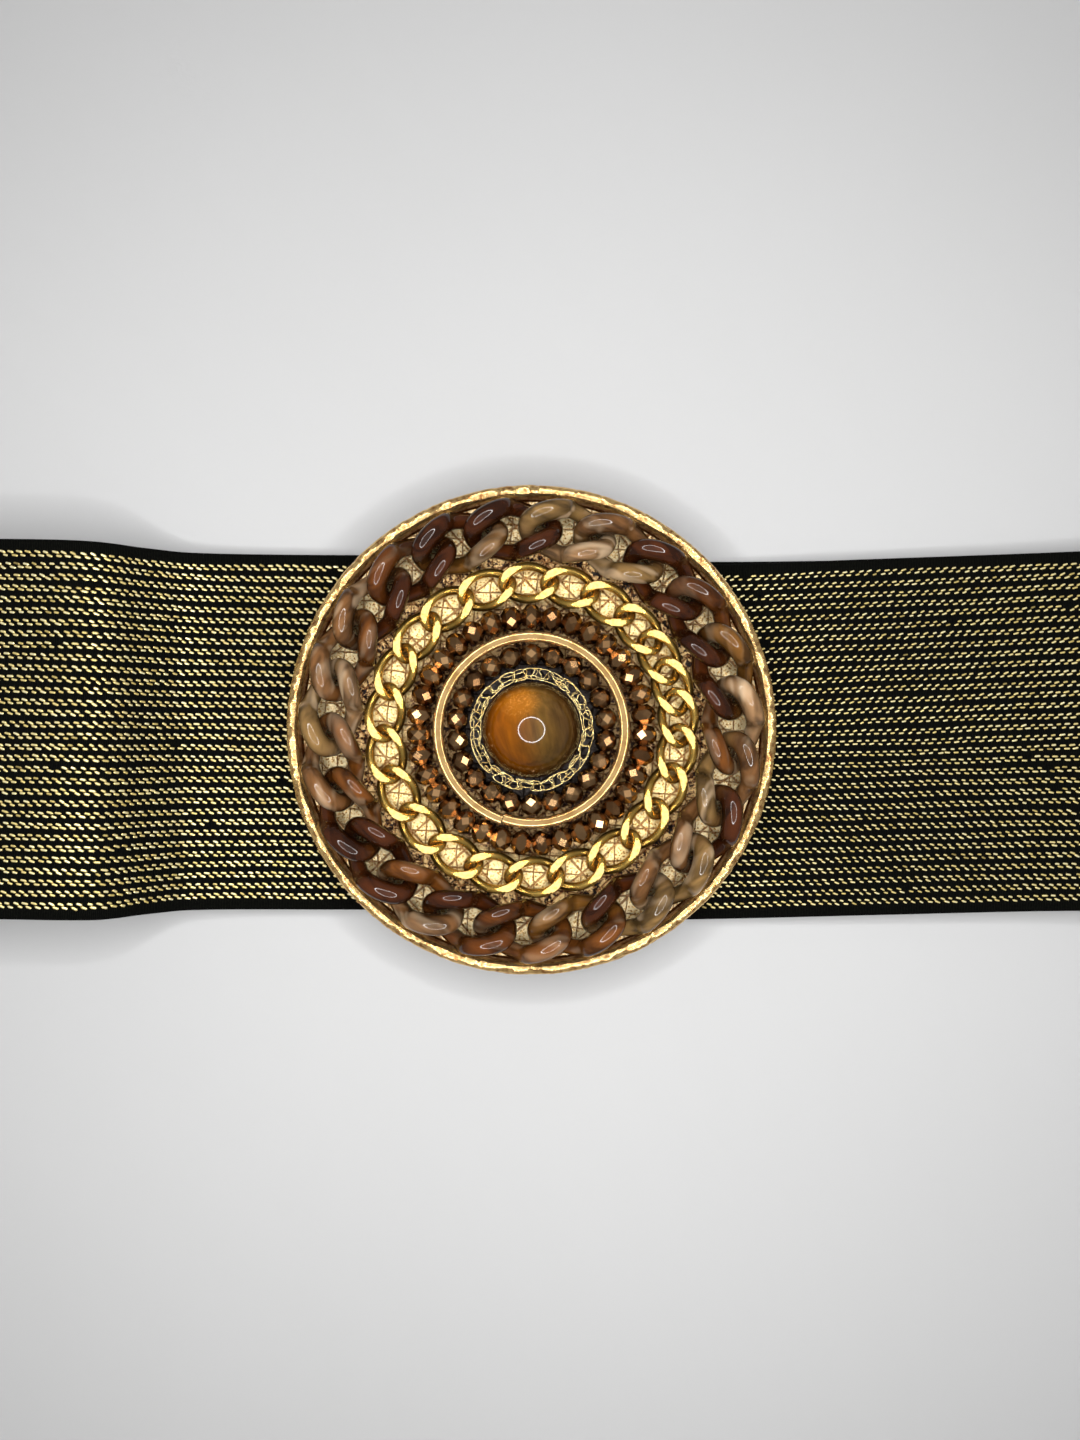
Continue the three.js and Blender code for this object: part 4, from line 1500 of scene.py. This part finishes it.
@dataclass
class TortoiseChain:
    """The ring of interlocked acrylic links. The outer and the inner arc of each have a tint, given by the
    first letter of its name. A link's line is longer than the links' spacing by passing and wider than
    the solid's by spread, as the photo's twisted links are. Its clouds are drawn out by streak, and
    apart keeps those of two links from being alike."""

    links: int = 23
    first_degrees: float = 10.5
    wire: float = 3.05
    thickness: float = 2.6
    twist: float = 47.0
    passing: float = 4.3
    spread: float = 0.5
    swell: float = 0.15
    fullness: float = 0.78
    level: float = 0.5
    # Painted light and shade on the links: how light their sides stay and how much their tops gain.
    side_light: float = 0.22
    top_light: float = 0.95
    streak: float = 0.75
    cloud_size: float = 0.45
    apart: float = 11.0
    outer_tints: str = "K G D C O M G D K K B B C G D D G K G G C D D"
    inner_tints: str = "M K D D D B K G G D O C D B D B B M B D D O D"

    def tints(self, letters: str) -> np.ndarray:
        """Reads a row of tint letters.

        Args:
            letters: One letter for each link.

        Returns:
            Linear colours with how milky each is as the fourth number.
        """
        by_letter = {tint.name[0]: tint.value for tint in Tint}
        found = [by_letter[letter] for letter in letters.split()]
        return np.array([(*linear(colour)[:3], milk) for colour, milk in found])

    def shade(self, shape: Shape, link: CurbLink) -> np.ndarray:
        """Painted light and shade on the acrylic: full on top and dark down its sides, by how far the surface
        faces up. The upward share of the surface's direction comes from its neighbours' places.

        Args:
            shape: One link.
            link: What it was made by.

        Returns:
            A share for each point.
        """
        grid = shape.points.reshape(link.steps, link.sides, 3)
        along = np.roll(grid, -1, axis=0) - np.roll(grid, 1, axis=0)
        around = np.roll(grid, -1, axis=1) - np.roll(grid, 1, axis=1)
        normal = np.cross(along, around)
        up = normal[..., 2] / np.linalg.norm(normal, axis=-1)
        return (self.side_light + self.top_light * np.clip(up, 0, 1) ** 1.7).ravel()

    def build(self, acrylic: bpy.types.Material) -> None:
        """Makes every link.

        Args:
            acrylic: The links' material.
        """
        pitch = 2 * math.pi * TORTOISE_RADIUS / self.links
        link = CurbLink(
            TORTOISE_RADIUS,
            pitch + self.passing,
            TORTOISE_CHAIN_WIDTH + self.spread - self.wire,
            self.wire,
            self.thickness,
            self.twist,
            steps=64,
            sides=20,
            swell=self.swell,
            fullness=self.fullness,
            level=self.level,
        )
        height = link.resting_height()
        outside = self.tints(self.outer_tints)
        inside = self.tints(self.inner_tints)
        across = np.sin(np.linspace(0, 2 * np.pi, link.steps, endpoint=False))
        share = np.repeat(np.clip(0.5 + 1.2 * across, 0, 1), link.sides)[:, None]
        for i in range(self.links):
            shape = link.shape(self.first_degrees + 360 * i / self.links, height)
            shape.tint = share * outside[i] + (1 - share) * inside[i]
            # Painted light and shade: each link's tint is darkened down its sides.
            shape.tint[:, :3] *= self.shade(shape, link)[:, None]
            along = math.radians(self.first_degrees) + 2 * math.pi * i / self.links
            forward = np.array([math.cos(along), -math.sin(along), 0.0])
            local = shape.points - TORTOISE_RADIUS * np.array([math.sin(along), math.cos(along), 0.0])
            drawn = local - self.streak * (local @ forward)[:, None] * forward
            shape.grain = self.cloud_size * drawn + self.apart * i
            piece = make_object(f"acrylic_link_{i + 1:02d}", shape, [acrylic])
            report_piece(piece, "tortoise", f"tortoise_link_{i + 1:02d}")


@dataclass
class GoldChain:
    """The ring of metal links with ground tops, wider than the solid by spread, as the photo's twisted
    links are. They stand tighter on the right."""

    wire: float = 1.5
    length: float = 10.2
    twist: float = 35.0
    ground_off: float = 0.3
    spread: float = 0.4
    places: tuple[float, ...] = (
        15.2, 31.4, 46.9, 60.4, 73.0, 85.3, 99.3, 114.7, 129.9, 145.9, 162.2, 178.9,
        195.1, 211.3, 228.2, 244.5, 260.5, 276.8, 293.3, 309.2, 325.2, 342.3, 359.0,
    )  # fmt: skip

    def build(self, metal: bpy.types.Material, ground: bpy.types.Material) -> None:
        """Makes the chain as one piece.

        Args:
            metal: Its material.
            ground: The material of the flats ground on its top.
        """
        link = CurbLink(
            GOLD_RADIUS,
            self.length - self.wire,
            GOLD_CHAIN_WIDTH + self.spread - self.wire,
            self.wire,
            self.wire,
            self.twist,
            steps=56,
            sides=18,
        )
        height = link.resting_height()
        link.ground = height - REST_Z - self.ground_off
        shape = merged([link.shape(degrees, height) for degrees in self.places])
        chain = make_object("metal_curb_chain", shape, [metal, ground], crease=32)
        flat = face_middles(chain)[:, 2] > height + link.ground - 0.02
        chain.data.polygons.foreach_set("material_index", flat.astype(np.int32))
        report_piece(chain, "chain_gold", "gold_chain")


# Beads, ring, cord and stone


@dataclass
class BeadRing:
    """A ring of faceted rondelle beads.

    Attributes:
        name: The piece's name.
        node: The CAD node that it replaces.
        count: How many beads it has.
        radius: The radius of the ring.
        size: The beads' width.
        seed: What fixes each bead's turn.
        facets: Facets round a bead.
        lean_degrees: The unevenness of the beads' lean.
        stray: The unevenness of their distance from the middle.
    """

    name: str
    node: str
    count: int
    radius: float
    size: float
    seed: int
    facets: int = 8
    lean_degrees: float = 5.0
    stray: float = 0.06

    def bead(self, length: float) -> Shape:
        """A bead about the X axis: rings of corners at the hole, at the shoulder and at the girdle, the
        girdle's corners between the others, and the shoulder's radius such that its diamonds are flat.

        Args:
            length: The bead's length along its hole.

        Returns:
            The shape of one bead round the origin.
        """
        n, full = self.facets, self.size / 2
        turn = 2 * np.pi * np.arange(n) / n
        half = np.pi / n
        rows = [
            (-0.5, 0.5, 0.0),
            (-0.24, math.cos(half), 0.0),
            (0.0, 1.0, half),
            (0.24, math.cos(half), 0.0),
            (0.5, 0.5, 0.0),
        ]
        along, share, shift = (np.array(rows)[:, k, None] for k in range(3))
        y, z = share * full * np.cos(turn + shift), share * full * np.sin(turn + shift)
        points = np.stack(np.broadcast_arrays(along * length, y, z), axis=-1).reshape(-1, 3)
        # Corner numbers at the first hole, its shoulder, the girdle, the other shoulder and hole, and
        # the next ones round
        corners = np.arange(5 * n).reshape(5, n)
        a, b, c, d, e = corners
        a2, b2, c2, d2, e2 = np.roll(corners, -1, axis=1)
        triangles = np.hstack([(b, b2, c), (d2, d, c)]).T
        quads = np.hstack([(a, a2, b2, b), (d, d2, e2, e), (b2, c2, d2, c)]).T
        caps = np.vstack([a[::-1], e])
        return Shape(points, [triangles, quads, caps])

    def build(self, glass: bpy.types.Material) -> None:
        """Makes the ring as one piece: each bead turned on its thread by chance and set on the circle.

        Args:
            glass: The beads' material.
        """
        random = np.random.default_rng(self.seed)
        pitch = 2 * math.pi * self.radius / self.count
        bead = self.bead(pitch * 0.97)
        turn = random.uniform(0, 2 * np.pi, self.count)[:, None]
        lean = random.normal(0, math.radians(self.lean_degrees), self.count)[:, None]
        x, y, z = (bead.points[None, :, k] for k in range(3))
        out = y * np.cos(turn) - z * np.sin(turn)
        up = y * np.sin(turn) + z * np.cos(turn)
        along = x * np.cos(lean) - out * np.sin(lean)
        out = x * np.sin(lean) + out * np.cos(lean)
        angle = 2 * np.pi * np.arange(self.count)[:, None] / self.count
        radial = self.radius + out + random.normal(0, self.stray, self.count)[:, None]
        x = radial * np.sin(angle) + along * np.cos(angle)
        y = radial * np.cos(angle) - along * np.sin(angle)
        points = np.stack([x, y, REST_Z + self.size / 2 + up], axis=-1)
        base = (np.arange(self.count) * len(bead.points))[:, None, None]
        faces = [(base + f[None]).reshape(-1, f.shape[1]) for f in bead.faces]
        tint = np.repeat(random.uniform(0, 1, self.count), len(bead.points))[:, None] * np.ones(4)
        shape = Shape(points.reshape(-1, 3), faces, None, tint)
        report_piece(make_object(self.name, shape, [glass], smooth=False), "bronze_bead", self.node)


def tube(
    path: np.ndarray, radius: np.ndarray | float, sides: int, closed: bool = True, square: float = 1.0
) -> Shape:
    """A tube along a path that lies roughly round the Z axis: each section stands across the path,
    between the outward direction and the upward one.

    Args:
        path: The points of the path.
        radius: The tube's radius, or one for each point.
        sides: Points round the tube.
        closed: Whether the path closes.
        square: The power of the section's sine and cosine: 1 for a circle, less for flatter sides.

    Returns:
        The shape of the tube.
    """
    if closed:
        ahead = np.roll(path, -1, axis=0) - np.roll(path, 1, axis=0)
    else:
        ahead = np.gradient(path, axis=0)
    ahead = ahead / np.linalg.norm(ahead, axis=1, keepdims=True)
    side = np.cross(ahead, (0.0, 0.0, 1.0))
    side = side / np.linalg.norm(side, axis=1, keepdims=True)
    up = np.cross(side, ahead)
    v = np.linspace(0, 2 * np.pi, sides, endpoint=False)
    reach = np.broadcast_to(radius, len(path))[:, None, None]
    across, rise = flattened(np.cos(v), square), flattened(np.sin(v), square)
    ring = across[None, :, None] * side[:, None, :] + rise[None, :, None] * up[:, None, :]
    points = path[:, None, :] + reach * ring
    faces = [grid_faces(len(path), sides, close_rows=closed)]
    if not closed:
        first = np.arange(sides)[None, :]
        faces += [first[:, ::-1], first + (len(path) - 1) * sides]
    return Shape(points.reshape(-1, 3), faces)


@dataclass
class WireRing:
    """The ring of gold wire, a little flattened, whose ends meet out of line by joint_step."""

    wire: float = 1.8
    square: float = 0.62
    joint_degrees: float = 198.0
    joint_gap: float = 0.16
    joint_step: float = 0.32
    height: float = 2.9
    steps: int = 360

    def build(self, metal: bpy.types.Material) -> None:
        """Makes the ring: its radius differs at the two ends and evens out away from them.

        Args:
            metal: Its material.
        """
        open_degrees = math.degrees(self.joint_gap / RING_RADIUS)
        share = np.linspace(0, 1, self.steps)
        degrees = self.joint_degrees + open_degrees / 2 + (360 - open_degrees) * share
        radius = RING_RADIUS + self.joint_step * (0.5 - share) * np.abs(1 - 2 * share) ** 5
        path = polar(degrees, radius, FLOOR_Z + self.height)
        shape = tube(path, self.wire / 2, 48, closed=False, square=self.square)
        ring = make_object("bent_wire_ring", shape, [metal], crease=50)
        report_piece(ring, "ring_gold", "wire_ring")


@dataclass
class KnitCord:
    """The tube of knitted fine wire round the stone.

    Attributes:
        wire: The wire's width.
        strands: For each strand, its mean distance from the cord's line, its swing in and out, its
            waves round the ring and its mean height over the plate.
        rise: How far it goes up and down.
        lean: How far its waves lean on, in radians.
        uneven: The least and the most that each of its slow waves shifts the quick ones, in radians.
        steps: Points along a strand.
        seed: What fixes the unevenness.
    """

    wire: float = 0.16
    strands: tuple[tuple[float, float, int, float], ...] = (
        (-0.62, 0.3, 11, 2.1),
        (0.6, 0.34, 9, 1.7),
        (0.0, 0.9, 13, 2.15),
        (0.0, -0.88, 10, 1.7),
        (0.1, 0.74, 16, 2.0),
    )
    rise: float = 0.28
    lean: float = 0.06
    uneven: tuple[float, float] = (0.4, 1.2)
    steps: int = 1000
    seed: int = 5

    def build(self, metal: bpy.types.Material) -> None:
        """Makes the strands: each swings in and out round the cord's line while it rises and falls,
        with waves of uneven length.

        Args:
            metal: Their material.
        """
        random = np.random.default_rng(self.seed)
        turn = np.linspace(0, 2 * np.pi, self.steps, endpoint=False)
        shapes = []
        for mean, swing, waves, middle in self.strands:
            wobble = sum(
                random.uniform(*self.uneven) * np.sin(n * turn + random.uniform(0, 2 * np.pi))
                for n in (2, 3, 5, 7)
            )
            phase = waves * turn + wobble
            radius = CORD_RADIUS + mean + swing * np.cos(phase)
            height = REST_Z + middle + self.rise * np.sin(phase + random.uniform(0, 2 * np.pi))
            lean = np.degrees(self.lean * np.sin(2 * phase))
            shapes.append(tube(polar(np.degrees(turn) + lean, radius, height), self.wire / 2, 6))
        cord = make_object("knitted_wire", merged(shapes), [metal])
        report_piece(cord, "knit_gold", "knit_cord_ring")


@dataclass
class CentreStone:
    """The domed stone."""

    steps: int = 160
    rows: int = 48
    stretch: float = 1.03
    rise: float = 7.4

    def build(self, stone: bpy.types.Material) -> None:
        """Makes the dome: half a ball on a low straight side with a flat underside.

        Args:
            stone: Its material.
        """
        girdle = REST_Z + STONE_RADIUS * 0.08
        rise = np.linspace(0, np.pi / 2, self.rows, endpoint=False)
        radius = np.concatenate([[STONE_RADIUS * 0.96, STONE_RADIUS * 0.99], STONE_RADIUS * np.cos(rise)])
        height = np.concatenate([[REST_Z, REST_Z + 0.1], girdle + self.rise * np.sin(rise)])
        angle = np.linspace(0, 360, self.steps, endpoint=False)[:, None]
        points = polar(angle, radius[None, :], height[None, :]) * (self.stretch, 1, 1)
        dome = turned_shape(points, REST_Z, girdle + self.rise)
        piece = make_object("domed_stone", dome, [stone], crease=60)
        report_piece(piece, "amber_stone", "centre_stone")


# The studio


@dataclass
class Studio:
    """The table, the ring lamp, the soft room light and the camera that looks straight down."""

    camera_x: float = 1.4
    camera_y: float = 1.62
    camera_height: float = 187.0
    lens: float = 27.0
    lamp_radius: float = 90.0
    lamp_tube: float = 3.1
    ceiling_radius: float = 200.0
    ceiling_height: float = 420.0
    room_light: float = 0.2
    table_half: float = 2500.0

    def build(self, table: bpy.types.Material, lamp: bpy.types.Material, wall: bpy.types.Material) -> None:
        """Makes the camera, the lights and the table.

        Args:
            table: The table's material.
            lamp: The lamp tube's material.
            wall: The material of the lit ceiling over the table.
        """
        camera = bpy.data.cameras.new("camera")
        camera.lens = self.lens
        camera.sensor_width = 36.0
        camera.clip_start = 0.005
        holder = bpy.data.objects.new("camera", camera)
        holder.location = (self.camera_x * MM, self.camera_y * MM, self.camera_height * MM)
        bpy.context.scene.collection.objects.link(holder)
        bpy.context.scene.camera = holder

        corners = np.array([(-1, -1, 0), (1, -1, 0), (1, 1, 0), (-1, 1, 0)], float) * self.table_half
        floor = make_object("table_top", Shape(corners, [np.arange(4)[None, :]]), [table], smooth=False)
        around = np.linspace(0, 360, 72, endpoint=False)
        path = polar(around, self.lamp_radius, self.camera_height) + (self.camera_x, self.camera_y, 0)
        ring = make_object("ring_lamp", tube(path, self.lamp_tube, 8), [lamp])
        spot = polar(around, self.ceiling_radius, self.ceiling_height) + (self.camera_x, self.camera_y, 0)
        ceiling = make_object("pale_ceiling", Shape(spot, [np.arange(72)[None, :]]), [wall], smooth=False)
        for light in (ring, ceiling):
            light.visible_camera = False
            light.visible_shadow = False

        world = bpy.data.worlds.new("room")
        bpy.context.scene.world = world
        world.use_nodes = True
        background = world.node_tree.nodes["Background"]
        background.inputs["Color"].default_value = linear("FFFFFF")
        background.inputs["Strength"].default_value = self.room_light
        bpy.context.scene.view_settings.view_transform = "Standard"


def main() -> None:
    """Loads the frame and builds the studio and every part of the belt."""
    logging.basicConfig(level=logging.INFO, format="%(name)s %(message)s")
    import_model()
    Studio().build(
        PaleTable("pale matt table", 0.7, 0.0).material(),
        Glow("lamp tube", 0.5, 0.0, 26.6).material(),
        Glow("lit ceiling", 0.5, 0.0, 0.65).material(),
    )
    ElasticStrap().build(
        WovenElastic("black woven elastic", 0.85, 0.0).material(),
        LurexYarn("gold lurex yarn", 0.33, 0.6).material(),
    )
    # Painted shade for each metal: the colour it darkens to and the heights between which it does.
    cast_low_shade = ("6E441E", FLOOR_Z + 2.8, FLOOR_Z + 1.2)
    gold_low_shade = ("5E400E", REST_Z + 3.2, REST_Z + 0.8)
    knit_low_shade = ("7A5420", REST_Z + 2.0, REST_Z + 1.0)
    cast = PlatedMetal("hammered cast gold", 0.26, 0.88, "FCD48E", "AE7238", 0.7, 1.0, *cast_low_shade).material()
    CastDisc().build(cast, ScribedPlate("scribed gold plate", 0.36, 0.35).material())
    ClaspLoop().build(cast)
    TortoiseChain().build(TortoiseAcrylic("tortoise acrylic", 0.02, 0.0).material())
    GoldChain().build(
        PlatedMetal("yellow gold chain", 0.2, 0.92, "FFD26E", "E8B452", 1.5, 0.0, *gold_low_shade).material(),
        PlatedMetal("ground chain flats", 0.5, 0.85, "EECB80", "D4AC5C", 0.5, 0.5).material(),
    )
    glass = BronzeGlass("bronze coated glass", 0.16, 1.0).material()
    BeadRing("rondelles_outer", "bead_ring_outer", 35, OUTER_BEAD_RADIUS, OUTER_BEAD_SIZE, 21).build(glass)
    WireRing().build(PlatedMetal("pale gold wire", 0.13, 0.92, "E8BE80", "D0A060", 2.5, 0.0).material())
    BeadRing("rondelles_inner", "bead_ring_inner", 22, INNER_BEAD_RADIUS, INNER_BEAD_SIZE, 22).build(glass)
    knit = PlatedMetal("knitted gold wire", 0.24, 0.85, "FFE8A4", "EEC878", 1.2, 0.0, *knit_low_shade)
    KnitCord().build(knit.material())
    CentreStone().build(AmberStone("amber cabochon", 0.06, 0.0).material())


if __name__ == "__main__":
    main()
